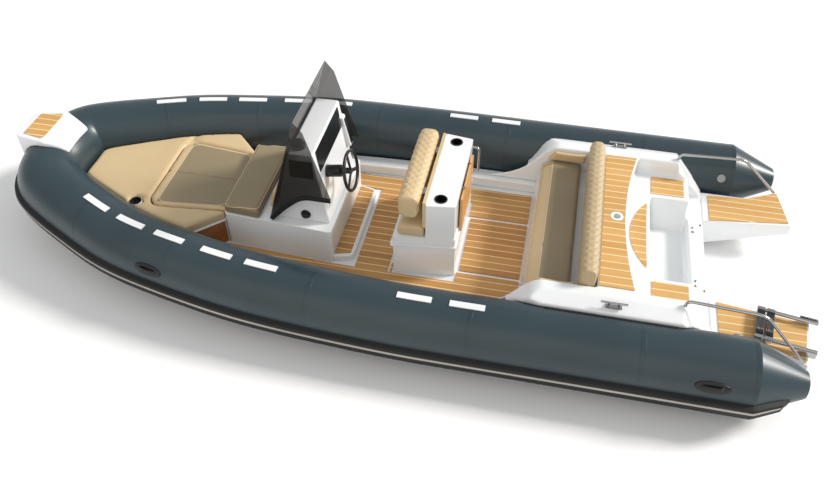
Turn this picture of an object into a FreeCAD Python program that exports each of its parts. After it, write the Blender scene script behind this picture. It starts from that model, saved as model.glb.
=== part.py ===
import FreeCAD, Part
import math
import os

# Inflatable boat with a rigid hull, in millimetres.
# X points to the bow, Y to port, Z up. The origin is on the centreline
# at the forward edge of the swim platforms, on the waterline.

V = FreeCAD.Vector
os.makedirs("parts", exist_ok=True)

# Inflatable collar: plan and height of its centreline, port side
TUBE_RADIUS = 283.0
TUBE_HALF_BEAM = 1196.0
TUBE_HEIGHT = 325.0
TUBE_STRAIGHT_END = 2200.0
TUBE_BOW_PLAN = [
    (3000.0, 1172.0, 335.0),
    (3800.0, 1108.0, 352.0),
    (4400.0, 997.0, 363.0),
    (4950.0, 853.0, 383.0),
    (5350.0, 673.0, 410.0),
]
TUBE_BOW_HEADING = 28.2
TUBE_NOSE_X = 5939.0
TUBE_NOSE_HEIGHT = 485.0
TUBE_CORNER_RADIUS = 330.0
TUBE_CORNER_STEPS = 3
SEAT_CLEARANCE = 0.3

# Stern cones
CONE_START_X = -205.0
CONE_LENGTH = 385.0
CONE_TIP_RADIUS = 106.0
CONE_TIP_BULGE = 26.0

# Rubbing strake on the outer side of the collar
STRAKE_ANGLE = -18.0
STRAKE_HEIGHT = 130.0
STRAKE_PROUD = 48.0
STRAKE_FACE = 86.0
STRAKE_CONE_SEAT = 1.5
STRIPE_HEIGHT = 20.0
STRIPE_RISE = 30.0
STRIPE_PROUD = 8.0
STRAKE_CONE_SHARE = 0.68
STRIPE_CONE_SHARE = 0.66

# White treads on the collar's crown: aft end and forward end of each, along X
TREAD_SPANS = [
    (1797.0, 2068.0),
    (2206.0, 2476.0),
    (3450.0, 3720.0),
    (3844.0, 4109.0),
    (4283.0, 4547.0),
    (4665.0, 4918.0),
    (5037.0, 5287.0),
]
TREAD_WIDTH = 55.0
TREAD_THICKNESS = 9.0

# Rubber lifting handles on the collar's outer side: middle along X
HANDLE_POSITIONS = [110.0, 4420.0]
HANDLE_LENGTH = 250.0
HANDLE_WIDTH = 84.0
HANDLE_BASE = 10.0
HANDLE_GRIP_RISE = 36.0
HANDLE_ANGLE = 24.5
HANDLE_SEAT = 0.9
HANDLE_ROD = 11.0
HANDLE_BEND = 20.0

# Inflation valves on the inner side of the stern cones
VALVE_X = -95.0
VALVE_ANGLE = 152.0
VALVE_RADIUS = 36.0
VALVE_PROUD = 10.0

# Hull: stations as x, keel height, chine half width, chine height,
# gunwale half width, gunwale height
HULL_STATIONS = [
    (-10.0, -420.0, 955.0, -35.0, 1040.0, 110.0),
    (1600.0, -420.0, 955.0, -35.0, 1040.0, 110.0),
    (3000.0, -412.0, 925.0, -18.0, 1012.0, 122.0),
    (4000.0, -378.0, 820.0, 22.0, 905.0, 145.0),
    (4700.0, -300.0, 650.0, 75.0, 745.0, 172.0),
    (5200.0, -180.0, 455.0, 132.0, 560.0, 200.0),
    (5560.0, -20.0, 245.0, 186.0, 345.0, 245.0),
    (5830.0, 190.0, 40.0, 238.0, 70.0, 262.0),
]
TRANSOM_RAKE = 12.0
HULL_DECK_Z = 60.0
HULL_DECK_OFFSET = 336.0
SPRAY_RAIL_WIDTH = 42.0
SPRAY_RAIL_DEPTH = 26.0
SPRAY_RAIL_RATIOS = [0.36, 0.68]
KEEL_PAD_WIDTH = 60.0
KEEL_STEM_SLOPE = (0.55, 0.0, 0.83)
CHINE_STEM_SLOPE = (0.72, -0.66, 0.2)
GUNWALE_STEM_SLOPE = (0.6, -0.79, 0.1)

# Deck liner
SOLE_Z = 119.0
LINER_OFFSET = 352.0
LINER_WALL = 60.0
LINER_LIP_Z = 222.0
LINER_LIP_OFFSET = 268.0
LINER_WALL_FWD_X = 4470.0
LINER_AFT_X = 1180.0
TEAK_THICKNESS = 10.0

# Bow
LOCKER_TOP_Z = 378.0
LOCKER_AFT_X = 4192.0
LOCKER_AFT_HALF = 440.0
LOCKER_WING_X = 4440.0
LOCKER_WING_Y = 690.0
LOCKER_SHELF_Z = 300.0
LOCKER_OFFSET = 300.0
CUSHION_GAP = 5.0
CUSHION_THICKNESS = 84.0
CUSHION_ROUND = 20.0
MATTRESS_FWD_X = 4905.0
MATTRESS_FWD_HALF = 470.0
MATTRESS_AFT_HALF = 395.0
MATTRESS_CORNER = 110.0
BOW_SPLIT_X = 4880.0

# Step on the bow of the collar
BOW_STEP_TOP_Z = 806.0
BOW_STEP_TEAK = 9.0

# Console
CONSOLE_AFT_X = 3205.0
CONSOLE_FWD_X = 4187.0
CONSOLE_AFT_HALF = 513.0
CONSOLE_FWD_HALF = 451.0
CONSOLE_LEDGE_Z = 480.0
CONSOLE_SEAT_Z = 470.0
TOWER_FOOT_X = 3735.0
TOWER_HALF = 405.0
DASH_TOP_Z = 1192.0
DASH_AFT_X = 3342.0
DASH_FWD_X = 3545.0
TOWER_AFT_FOOT_X = 3240.0
GLASS_THICKNESS = 6.0
GLASS_GAP = 2.0

# Helm
WHEEL_Y = 190.0
WHEEL_RADIUS = 166.0
WHEEL_RIM = 14.0
HELM_TILT = 10.0

# Leaning post
POST_AFT_X = 2143.0
POST_FWD_X = 2669.0
POST_AFT_HALF = 454.0
POST_FWD_HALF = 515.0
POST_RIM_Z = 470.0
POST_RIM_HEIGHT = 26.0
POST_RIM_PROUD = 22.0
POST_PLINTH_Z = 552.0
POST_TOP_Z = 915.0
POST_TOP_AFT_X = 2155.0
POST_TOP_FWD_X = 2398.0
POST_TOP_AFT_HALF = 457.0
POST_TOP_FWD_HALF = 490.0
CUP_RADIUS = 46.0
CUP_DEPTH = 70.0
CUP_X = 2290.0
CUP_Y = 385.0
CUP_WALL = 4.0
POST_SEAT_AFT_X = 2404.0
POST_SEAT_FWD_X = 2640.0
POST_SEAT_TOP_Z = 645.0
BOLSTER_AFT_X = 2458.0
BOLSTER_FWD_X = 2632.0
BOLSTER_BOTTOM_Z = 742.0
BOLSTER_TOP_Z = 972.0
BOLSTER_HALF = 478.0
BACKING_BOTTOM_Z = 660.0
BACKING_TOP_Z = 930.0

# Folding table on the aft face of the leaning post
TABLE_HALF = 300.0
TABLE_THICKNESS = 20.0
TABLE_TOP_Z = 868.0
TABLE_BOTTOM_Z = 500.0
TABLE_HINGE_GAP = 22.0
TABLE_HINGE_RADIUS = 8.0

# Grab rail on the leaning post
GRAB_RADIUS = 11.0
GRAB_STAND_OFF = 62.0
GRAB_BOTTOM_Z = 590.0
GRAB_TOP_Z = 850.0
GRAB_Y = -430.0

# Aft bench
BENCH_FWD_X = 1572.0
BENCH_HALF = 832.0
BENCH_TOP_Z = 420.0
BENCH_SEAT_TOP_Z = 510.0
BENCH_SEAT_AFT_X = 1172.0
BENCH_SEAM_Y = 330.0
BACKREST_AFT_X = 992.0
BACKREST_FWD_X = 1136.0
BACKREST_BOTTOM_Z = 560.0
BACKREST_TOP_Z = 802.0
BACKREST_HALF = 831.0
ARM_AFT_X = 1150.0
ARM_FWD_X = 1500.0
ARM_TOP_Z = 628.0
ARM_THICKNESS = 42.0

# Stern moulding
SUNDECK_Z = 650.0
SUNDECK_FWD_X = 985.0
SUNDECK_EDGE_MID_X = 775.0
SUNDECK_EDGE_SIDE_X = 685.0
SUNDECK_HALF = 836.0
COAMING_INNER_Y = 836.0
COAMING_OUTER_Y = 1052.0
COAMING_OUTER_Z = 604.0
COAMING_FWD_X = 1400.0
COAMING_AFT_X = 330.0
CRESCENT_Z = 500.0
CRESCENT_CHORD_X = 590.0
SIDE_STEP_Z = 500.0
SIDE_STEP_AFT_X = 215.0
WELL_FLOOR_Z = 200.0
WELL_AFT_X = 205.0
WELL_FWD_X = 560.0
WELL_HALF = 500.0
TRANSOM_TOP_Z = 330.0
TRANSOM_AFT_X = 60.0
PEDESTAL_X = 860.0
PEDESTAL_Y = 0.0

# Swim platforms and hull extensions
PLATFORM_Z = 322.0
PLATFORM_TIP_X = -712.0
PLATFORM_INNER_FWD = 470.0
PLATFORM_INNER_AFT = 560.0
PLATFORM_OUTER = 880.0
PLATFORM_WAIST_X = -340.0
PLATFORM_OUTER_TIP_Y = 1020.0
PLATFORM_OUTER_TIP_X = -640.0
PLATFORM_ROOT_Z = 20.0
PLATFORM_TIP_Z = 226.0

# Stern rails
RAIL_RADIUS = 12.5
RAIL_FOOT_X = 330.0
RAIL_FOOT_Y = 897.0
RAIL_TOP_Z = 706.0
RAIL_KNEE_X = -240.0
RAIL_KNEE_Y = 932.0
RAIL_END_X = -602.0
RAIL_END_Y = 996.0
RAIL_BEND = 40.0
RAIL_KNEE_BEND = 150.0

# Cleats
CLEAT_X = 855.0
CLEAT_Y = 1000.0
CLEAT_LENGTH = 200.0

# Swim ladder
LADDER_YAW = 9.5
LADDER_HINGE_X = -708.0
LADDER_HINGE_Y = 760.0
LADDER_HINGE_Z = 372.0
LADDER_HALF = 150.0
LADDER_LENGTH = 372.0
LADDER_TUBE_RADIUS = 16.0
LADDER_INNER_RADIUS = 12.0
LADDER_TREAD_WIDTH = 62.0

# Sizes of the deck and the bow
OFFSET_STEPS = 18
OFFSET_TRIM = 3.0
TEAK_SEAM = 30.0
TEAK_MARGIN = 14.0
TEAK_EDGE = 62.0
TEAK_CORNER = 12.0
AFT_STRIP_Y = (310.0, 400.0)
POST_SOLE_X = 2700.0
CUSHION_OFFSET = 290.0
CUSHION_EDGE = 16.0
BOW_CUP_X = 5020.0
BOW_CUP_Y = 442.0
BOW_CUP_RIM_Z = 455.0
BOW_CUP_WALL = 9.0
BOW_STEP_AFT_X = 5738.0
BOW_STEP_AFT_HALF = 180.0
BOW_STEP_TOP_AFT_X = 5928.0
BOW_STEP_MID_HALF = 238.0
BOW_STEP_FWD_X = 6222.0
BOW_STEP_FWD_HALF = 194.0
BOW_STEP_AFT_Z = 688.0
BOW_STEP_SKIRT_Z = 540.0
BOW_STEP_LIP_Z = 636.0
BOW_STEP_ROUND = 46.0
BOW_STEP_TUCK = 36.0
BOW_STEP_TEAK_AFT_X = 5946.0
BOW_STEP_TEAK_FWD_X = 6152.0
BOW_STEP_TEAK_AFT_HALF = 188.0
BOW_STEP_TEAK_FWD_HALF = 150.0
BOW_STEP_TEAK_ROUND = 24.0
BOW_EYE_X = 5640.0
BOW_EYE_HALF = 34.0
BOW_EYE_REACH = 74.0
BOW_EYE_ROD = 7.0
BOW_EYE_BEND = 30.0

# Sizes of the console and the helm
CONSOLE_ROUND = 36.0
CONSOLE_SEAT_AFT_X = 3850.0
CONSOLE_SEAT_THICKNESS = 92.0
CONSOLE_PAD_HEIGHT = 190.0
CONSOLE_PAD_THICKNESS = 34.0
CONSOLE_PAD_HALF = 400.0
POD_TOP_Z = 1060.0
POD_BOTTOM_Z = 760.0
POD_PROUD = 46.0
POD_WIDTH = 74.0
PANEL_HALF = 325.0
PANEL_BOTTOM_Z = 978.0
PANEL_TOP_Z = 1174.0
PANEL_THICKNESS = 6.0
SIDE_PANEL_AFT_X = 3345.0
SIDE_PANEL_FWD_X = 3540.0
SIDE_PANEL_BOTTOM_Z = 960.0
SIDE_PANEL_TOP_Z = 1130.0
COMPASS_X = 3483.0
COMPASS_Y = 300.0
COMPASS_RADIUS = 56.0
COMPASS_HEIGHT = 46.0
COMPASS_ROUND = 20.0
SOCKET_X = 3446.0
SOCKET_Z = 565.0
SOCKET_HALF = 48.0
SOCKET_THICKNESS = 5.0
GLASS_FOOT_X = 3764.0
GLASS_FOOT_Z = 490.0
GLASS_TOP_X = 3457.0
GLASS_TOP_Z = 1544.0
GLASS_HALF = 452.0
WING_TOP_X = 3381.0
WING_TOP_Z = 1448.0
WING_AFT_X = 3199.0
WING_AFT_Z = 798.0
WING_MID_X = 3448.0
WING_KNEE_X = 3600.0
WING_KNEE_Z = 665.0
TRIM_RADIUS = 12.0
TRIM_BEND = 60.0
HELM_Z = 886.0
HUB_RADIUS = 52.0
HUB_LENGTH = 128.0
WHEEL_DISH = 84.0
WHEEL_BOSS = 26.0
HELM_RUN = 3.0
SPOKE_ANGLES = [90.0, 210.0, 330.0]
SPOKE_WIDTH = 30.0
SPOKE_THICKNESS = 10.0
HELM_STEP_Z = 185.0
HELM_STEP_AFT_X = 3040.0
HELM_STEP_FWD_HALF = 495.0
HELM_STEP_AFT_HALF = 455.0
HELM_STEP_ROUND = 60.0
HELM_STEP_EDGE = 16.0
HELM_STEP_MARGIN = 52.0

# Sizes of the leaning post and the bench
POST_ROUND = 14.0
CUP_RIM = 8.0
BACKING_THICKNESS = 26.0
BOLSTER_ROUND = 62.0
ROLL_END_ROUND = 18.0
TABLE_ROUND = 24.0
TABLE_WEB = 8.0
TABLE_PIN_RADIUS = 4.0
TABLE_PIN_PLAY = 0.4
TABLE_LUG_GAP = 6.0
TABLE_LUG = 12.0
GRAB_BEND = 34.0
BENCH_NOSE = 34.0
BENCH_ROLL_X = 1436.0
BENCH_ROLL_RISE = 14.0
BENCH_ROUND = 16.0
BACKREST_ROUND = 56.0
BRACKET_Y = 560.0

# Sizes of the stern
COAMING_TOP_Z = 652.0
COAMING_CREST_Y = 930.0
COAMING_RAMP = 720.0
COAMING_SAG = 120.0
COAMING_WALL = 22.0
COAMING_SKIRT_Z = 400.0
COAMING_TIP = 8.0
WELL_FLARE = 60.0
SHOULDER_INNER_Y = 780.0
SHOULDER_SKIRT_Z = 212.0
SHOULDER_OUTER_Y = 965.0
SHOULDER_EDGE = 14.0
BOARD_PROUD = 2.0
PEDESTAL_BORE = 30.0
PEDESTAL_DEPTH = 120.0
PEDESTAL_RING = 56.0
CRESCENT_TIP_X = 585.0
CRESCENT_HALF = 400.0
CRESCENT_MID_X = 725.0
SIDE_TEAK_AFT_X = 262.0
SIDE_TEAK_FWD_X = 545.0
SIDE_TEAK_INNER_Y = 545.0
SIDE_TEAK_OUTER_Y = 776.0
PLATFORM_MARGIN = 26.0
CLEAT_Z = 632.0
LADDER_PLAY = 0.5
LADDER_PIN = 6.0
LADDER_TREAD_DEPTH = 34.0
LADDER_LUG = 12.0
LADDER_LUG_GAP = 5.0
LADDER_LUG_NOSE = 14.0
LADDER_LUG_LENGTH = 120.0


def save(shape, name):
    """Write one node's shape to its STEP file."""
    shape.exportStep("parts/" + name + ".step")


def block(x0, x1, y0, y1, z0, z1):
    """Box between two corners."""
    return Part.makeBox(x1 - x0, y1 - y0, z1 - z0, V(x0, y0, z0))


def mirrored(shape):
    """The same shape on the other side of the centreline."""
    return shape.mirror(V(0, 0, 0), V(0, 1, 0))


def both_sides(shape):
    """A port piece and its starboard twin, as one compound."""
    return Part.makeCompound([shape, mirrored(shape)])


def prism(points, move):
    """Closed outline moved along a vector."""
    return Part.Face(Part.makePolygon(points + [points[0]])).extrude(move)


def prism_y(outline, y0, y1):
    """Side outline of (x, z) points, wide from y0 to y1."""
    points = [V(x, y0, z) for x, z in outline]
    return prism(points, V(0, y1 - y0, 0))


def prism_z(outline, z0, z1):
    """Plan outline of (x, y) points, high from z0 to z1."""
    points = [V(x, y, z0) for x, y in outline]
    return prism(points, V(0, 0, z1 - z0))


def mirrored_outline(half):
    """Plan outline closed across the centreline from its port half."""
    return half + [(x, -y) for x, y in reversed(half)]


def rounded(shape, radius, chosen):
    """Fillet the edges that the test picks."""
    edges = [edge for edge in shape.Edges if chosen(edge)]
    return shape.makeFillet(radius, edges)


def soft(shape, radius):
    """Round every edge, as a cushion's cover does."""
    return shape.makeFillet(radius, shape.Edges)


def is_upright(edge):
    """True for a straight edge along Z."""
    first, last = edge.Vertexes[0].Point, edge.Vertexes[-1].Point
    level = math.hypot(first.x - last.x, first.y - last.y)
    return level < 1e-3 and abs(first.z - last.z) > 1e-3


def at_height(z):
    """Test for the edges that lie at one height."""
    def chosen(edge):
        box = edge.BoundBox
        return abs(box.ZMin - z) < 1e-3 and abs(box.ZMax - z) < 1e-3
    return chosen


def bent_rod(points, radius, bends):
    """Round bar along a polyline; each corner has its own bend radius."""
    edges = []
    start = points[0]
    for i in range(1, len(points) - 1):
        bend = bends[i - 1]
        before = (points[i - 1] - points[i]).normalize()
        after = (points[i + 1] - points[i]).normalize()
        half = before.getAngle(after) / 2
        leg = bend / math.tan(half)
        entry = points[i] + before * leg
        leave = points[i] + after * leg
        middle = (before + after).normalize()
        crown = points[i] + middle * (bend / math.sin(half) - bend)
        edges.append(Part.makeLine(start, entry))
        edges.append(Part.Arc(entry, crown, leave).toShape())
        start = leave
    edges.append(Part.makeLine(start, points[-1]))
    path = Part.Wire(edges)
    along = points[1] - points[0]
    profile = Part.Wire(Part.makeCircle(radius, points[0], along))
    return path.makePipeShell([profile], True, False)


def bow_corner():
    """Points of the rounded corner between the collar's side and its nose."""
    x, y, z = TUBE_BOW_PLAN[-1]
    heading = math.radians(TUBE_BOW_HEADING)
    turn = math.pi / 2 - heading
    leg = TUBE_CORNER_RADIUS * math.tan(turn / 2)
    corner_y = y - (TUBE_NOSE_X - x) * math.tan(heading)
    straight = (TUBE_NOSE_X - x) / math.cos(heading) - leg
    bend = TUBE_CORNER_RADIUS * turn
    length = straight + bend + corner_y - leg
    points = []
    for i in range(TUBE_CORNER_STEPS + 1):
        share = i / TUBE_CORNER_STEPS
        angle = turn * (1 - share)
        height = z + (TUBE_NOSE_HEIGHT - z) * (straight + bend * share) / length
        centre = V(TUBE_NOSE_X - TUBE_CORNER_RADIUS, corner_y - leg, height)
        points.append(centre + V(math.cos(angle), math.sin(angle), 0) * TUBE_CORNER_RADIUS)
    return points


def collar_spine():
    """Centreline of the port half: a straight run, then a bow curve."""
    start = V(CONE_START_X, TUBE_HALF_BEAM, TUBE_HEIGHT)
    bend = V(TUBE_STRAIGHT_END, TUBE_HALF_BEAM, TUBE_HEIGHT)
    nose = V(TUBE_NOSE_X, 0, TUBE_NOSE_HEIGHT)
    points = [bend] + [V(x, y, z) for x, y, z in TUBE_BOW_PLAN] + bow_corner() + [nose]
    bow = Part.BSplineCurve()
    bow.interpolate(Points=points, InitialTangent=V(1, 0, 0), FinalTangent=V(0, -1, 0))
    return Part.LineSegment(start, bend), bow


STRAIGHT, BOW = collar_spine()


def parameter_at(curve, x):
    """Parameter of a curve that runs forward where it passes a given x."""
    low, high = curve.FirstParameter, curve.LastParameter
    for _ in range(50):
        middle = (low + high) / 2
        if curve.value(middle).x < x:
            low = middle
        else:
            high = middle
    return low


def bow_parameter(x):
    """Parameter of the bow curve where it passes a given x."""
    return parameter_at(BOW, x)


def spine_frame(x):
    """Point and outward direction of the collar's centreline at x."""
    if x <= TUBE_STRAIGHT_END:
        return V(x, TUBE_HALF_BEAM, TUBE_HEIGHT), V(0, 1, 0)
    u = bow_parameter(x)
    along = BOW.tangent(u)[0]
    outward = V(0, 0, 1).cross(V(along.x, along.y, 0)).normalize()
    return BOW.value(u), outward


def spine_piece(x0, x1):
    """The centreline between two stations as a wire."""
    edges = []
    if x0 < TUBE_STRAIGHT_END:
        start = spine_frame(x0)[0]
        end = spine_frame(min(x1, TUBE_STRAIGHT_END))[0]
        edges.append(Part.makeLine(start, end))
    if x1 > TUBE_STRAIGHT_END:
        first = BOW.FirstParameter
        if x0 > TUBE_STRAIGHT_END:
            first = bow_parameter(x0)
        last = BOW.LastParameter
        if x1 < TUBE_NOSE_X:
            last = bow_parameter(x1)
        edges.append(BOW.toShape(first, last))
    return Part.Wire(edges)


def placed(origin, outward, across, up):
    """Point of a profile given outward and up from the centreline."""
    return origin + outward * across + V(0, 0, 1) * up


def polar(radius, degrees):
    """Outward and up distances of a point on the tube's section."""
    angle = math.radians(degrees)
    return radius * math.cos(angle), radius * math.sin(angle)


def swept(x0, x1, profile):
    """Sweep a profile, drawn by a function of a frame, along the collar."""
    return swept_on(spine_piece(x0, x1), x0, profile)


def swept_on(path, x0, profile):
    """Sweep a profile that stays upright along a given path."""
    origin, outward = spine_frame(x0)
    sweep = Part.BRepOffsetAPI.MakePipeShell(path)
    sweep.setBiNormalMode(V(0, 0, 1))
    sweep.add(profile(origin, outward))
    sweep.build()
    sweep.makeSolid()
    return sweep.shape()


def full_path():
    """Collar centreline from the port stern round the bow to starboard."""
    port = spine_piece(CONE_START_X, TUBE_NOSE_X).Edges
    starboard = [mirrored(edge) for edge in reversed(port)]
    return Part.Wire(port + starboard)


def collar_profile(grow):
    """Circle of the tube."""
    def draw(origin, outward):
        return Part.Wire(Part.makeCircle(TUBE_RADIUS + grow, origin, V(1, 0, 0)))
    return draw


def stern_cone(grow):
    """Tapered tube end closed by a spherical cap."""
    radius = TUBE_RADIUS + grow
    tip = CONE_TIP_RADIUS + grow
    bulge = CONE_TIP_BULGE + grow
    end_x = CONE_START_X - CONE_LENGTH
    sphere = (tip ** 2 + bulge ** 2) / (2 * bulge)
    half_angle = math.asin(tip / sphere) / 2
    def at(x, r):
        return V(x, TUBE_HALF_BEAM, TUBE_HEIGHT + r)
    side = Part.makeLine(at(CONE_START_X, radius), at(end_x, tip))
    middle_x = end_x - bulge + sphere * (1 - math.cos(half_angle))
    middle = at(middle_x, sphere * math.sin(half_angle))
    cap = Part.Arc(at(end_x, tip), middle, at(end_x - bulge, 0))
    edges = [
        side,
        cap.toShape(),
        Part.makeLine(at(end_x - bulge, 0), at(CONE_START_X, 0)),
        Part.makeLine(at(CONE_START_X, 0), at(CONE_START_X, radius)),
    ]
    face = Part.Face(Part.Wire(edges))
    return face.revolve(V(0, TUBE_HALF_BEAM, TUBE_HEIGHT), V(1, 0, 0), 360)


def full_collar(grow):
    """Whole collar with both stern cones."""
    tube = swept_on(full_path(), CONE_START_X, collar_profile(grow))
    cone = stern_cone(grow)
    return tube.fuse([cone, mirrored(cone)])


COLLAR = full_collar(0)
ENVELOPE = full_collar(SEAT_CLEARANCE)


def offset_line(distance, z):
    """Points of a line inside the collar at a set distance, up to its nose."""
    front_x = TUBE_NOSE_X - distance - OFFSET_TRIM
    length = BOW.LastParameter - BOW.FirstParameter
    points = []
    for i in range(OFFSET_STEPS + 1):
        u = BOW.FirstParameter + length * i / OFFSET_STEPS
        along = BOW.tangent(u)[0]
        outward = V(0, 0, 1).cross(V(along.x, along.y, 0)).normalize()
        point = BOW.value(u) - outward * distance
        point.z = z
        if point.x > front_x:
            step = point - points[-1]
            share = (front_x - points[-1].x) / step.x
            return points + [points[-1] + step * share]
        points.append(point)
    return points


def inside_collar(distance, aft_x, z0, z1):
    """Solid that fills the collar's inside up to a set distance."""
    line = offset_line(distance, z0)
    curve = Part.BSplineCurve()
    curve.interpolate(Points=line, InitialTangent=V(1, 0, 0), FinalTangent=line[-1] - line[-2])
    start_x = min(aft_x, LINER_AFT_X)
    start = V(start_x, line[0].y, z0)
    nose = V(line[-1].x, 0, z0)
    edges = [
        Part.makeLine(V(start_x, 0, z0), start),
        Part.makeLine(start, line[0]),
        curve.toShape(),
        Part.makeLine(line[-1], nose),
        Part.makeLine(nose, V(start_x, 0, z0)),
    ]
    half = Part.Face(Part.Wire(edges)).extrude(V(0, 0, z1 - z0))
    full = half.fuse(mirrored(half)).removeSplitter()
    if aft_x > start_x:
        beam = TUBE_HALF_BEAM
        full = full.common(block(aft_x, TUBE_NOSE_X, -beam, beam, z0, z1))
    return full


def collar():
    """Inflatable collar: one solid round the bow, ends in two cones."""
    return COLLAR


def strake_profile(inner, outer, height):
    """Band on the tube's outer side: arc inside, flat face outside."""
    def draw(origin, outward):
        half = math.degrees(math.asin(height / 2 / inner))
        tilt = math.radians(STRAKE_ANGLE)
        def at(pair):
            return placed(origin, outward, pair[0], pair[1])
        def shifted(radius, side):
            across = radius * math.cos(tilt) - side * math.sin(tilt)
            up = radius * math.sin(tilt) + side * math.cos(tilt)
            return across, up
        low = polar(inner, STRAKE_ANGLE - half)
        middle = polar(inner, STRAKE_ANGLE)
        high = polar(inner, STRAKE_ANGLE + half)
        edges = [
            Part.Arc(at(low), at(middle), at(high)).toShape(),
            Part.makeLine(at(high), at(shifted(outer, STRAKE_FACE / 2))),
            Part.makeLine(at(shifted(outer, STRAKE_FACE / 2)), at(shifted(outer, -STRAKE_FACE / 2))),
            Part.makeLine(at(shifted(outer, -STRAKE_FACE / 2)), at(low)),
        ]
        return Part.Wire(edges)
    return draw


def along_cone(profile_for, x1):
    """Continue a band onto the cone: loft from the tube to a smaller ring."""
    origin = spine_frame(CONE_START_X)[0]
    outward = V(0, 1, 0)
    taper = (TUBE_RADIUS - CONE_TIP_RADIUS) / CONE_LENGTH
    drop = taper * (CONE_START_X - x1)
    first = profile_for(0)(origin, outward)
    end = V(x1, TUBE_HALF_BEAM, TUBE_HEIGHT)
    last = profile_for(drop - STRAKE_CONE_SEAT)(end, outward)
    return Part.makeLoft([first, last], True, True)


def round_the_bow(drawn, cone_share):
    """Band along the whole collar that runs out onto both cones."""
    band = swept_on(full_path(), CONE_START_X, drawn(0))
    tail = along_cone(drawn, CONE_START_X - CONE_LENGTH * cone_share)
    return band.fuse([tail, mirrored(tail)])


def strake():
    """Black rubbing strake from stern cone to stern cone."""
    inner = TUBE_RADIUS + SEAT_CLEARANCE
    outer = TUBE_RADIUS + STRAKE_PROUD
    def drawn(drop):
        return strake_profile(inner - drop, outer - drop, STRAKE_HEIGHT)
    return round_the_bow(drawn, STRAKE_CONE_SHARE)


def stripe_profile(inner, outer, height):
    """Flat strip that sits on the strake's outer face."""
    def draw(origin, outward):
        tilt = math.radians(STRAKE_ANGLE)
        def shifted(radius, side):
            across = radius * math.cos(tilt) - side * math.sin(tilt)
            up = radius * math.sin(tilt) + side * math.cos(tilt)
            return placed(origin, outward, across, up)
        high, low = STRIPE_RISE + height / 2, STRIPE_RISE - height / 2
        corners = [
            shifted(inner, high),
            shifted(outer, high),
            shifted(outer, low),
            shifted(inner, low),
        ]
        return Part.makePolygon(corners + [corners[0]])
    return draw


def stripe():
    """Light strip along the strake's face."""
    inner = TUBE_RADIUS + STRAKE_PROUD
    outer = inner + STRIPE_PROUD
    def drawn(drop):
        return stripe_profile(inner - drop, outer - drop, STRIPE_HEIGHT)
    return round_the_bow(drawn, STRIPE_CONE_SHARE)


def band_profile(inner, outer, low_angle, high_angle):
    """Strip of a ring between two angles."""
    def draw(origin, outward):
        def at(radius, angle):
            pair = polar(radius, angle)
            return placed(origin, outward, pair[0], pair[1])
        middle = (low_angle + high_angle) / 2
        edges = [
            Part.Arc(at(inner, low_angle), at(inner, middle), at(inner, high_angle)).toShape(),
            Part.makeLine(at(inner, high_angle), at(outer, high_angle)),
            Part.Arc(at(outer, high_angle), at(outer, middle), at(outer, low_angle)).toShape(),
            Part.makeLine(at(outer, low_angle), at(inner, low_angle)),
        ]
        return Part.Wire(edges)
    return draw


def treads():
    """White treads on the crown of both sides."""
    inner = TUBE_RADIUS + SEAT_CLEARANCE
    outer = inner + TREAD_THICKNESS
    half_angle = math.degrees(TREAD_WIDTH / 2 / inner)
    drawn = band_profile(inner, outer, 90 - half_angle, 90 + half_angle)
    pieces = [swept(x0, x1, drawn) for x0, x1 in TREAD_SPANS]
    return Part.makeCompound(pieces + [mirrored(piece) for piece in pieces])


def handle(x):
    """Lifting handle: a pad on the tube and a grip that stands off it."""
    inner = TUBE_RADIUS + HANDLE_SEAT
    outer = inner + HANDLE_BASE
    half_angle = math.degrees(HANDLE_WIDTH / 2 / inner)
    drawn = band_profile(inner, outer, HANDLE_ANGLE - half_angle, HANDLE_ANGLE + half_angle)
    pad = swept(x - HANDLE_LENGTH / 2, x + HANDLE_LENGTH / 2, drawn)
    def over(station, height):
        origin, outward = spine_frame(station)
        pair = polar(inner + height, HANDLE_ANGLE)
        return placed(origin, outward, pair[0], pair[1])
    reach = HANDLE_LENGTH * 0.36
    points = [
        over(x - reach, HANDLE_BASE / 2),
        over(x - reach * 0.8, HANDLE_GRIP_RISE),
        over(x + reach * 0.8, HANDLE_GRIP_RISE),
        over(x + reach, HANDLE_BASE / 2),
    ]
    return pad.fuse(bent_rod(points, HANDLE_ROD, [HANDLE_BEND] * 2))


def handles():
    """The lifting handles of both sides."""
    pieces = [handle(x) for x in HANDLE_POSITIONS]
    return Part.makeCompound(pieces + [mirrored(piece) for piece in pieces])


def valves():
    """Inflation valve caps near the stern cones."""
    origin, outward = spine_frame(VALVE_X)
    pair = polar(1.0, VALVE_ANGLE)
    axis = V(0, outward.y * pair[0], pair[1])
    foot = origin + axis * (TUBE_RADIUS - VALVE_PROUD)
    cap = Part.makeCylinder(VALVE_RADIUS, VALVE_PROUD * 2, foot, axis)
    cap = cap.cut(ENVELOPE)
    return both_sides(cap)


def hull_line(pick, end_slope):
    """Lengthwise curve through one corner of every hull station."""
    points = [pick(station) for station in HULL_STATIONS[1:]]
    curve = Part.BSplineCurve()
    curve.interpolate(Points=points, InitialTangent=V(1, 0, 0), FinalTangent=end_slope)
    return curve


def hull_corner(station, corner, side):
    """Point of a hull station: 0 keel, 1 chine, 2 gunwale."""
    x, keel, chine_y, chine_z, top_y, top_z = station
    keel_y = KEEL_PAD_WIDTH / 2 * chine_y / HULL_STATIONS[0][2]
    y, z = [(keel_y, keel), (chine_y, chine_z), (top_y, top_z)][corner]
    return V(x, y * side, z)


def hull_end(station):
    """Closed section of the hull at one station."""
    ring = [hull_corner(station, corner, 1) for corner in (0, 1, 2)]
    ring += [hull_corner(station, corner, -1) for corner in (2, 1, 0)]
    return Part.makePolygon(ring + [ring[0]])


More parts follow.
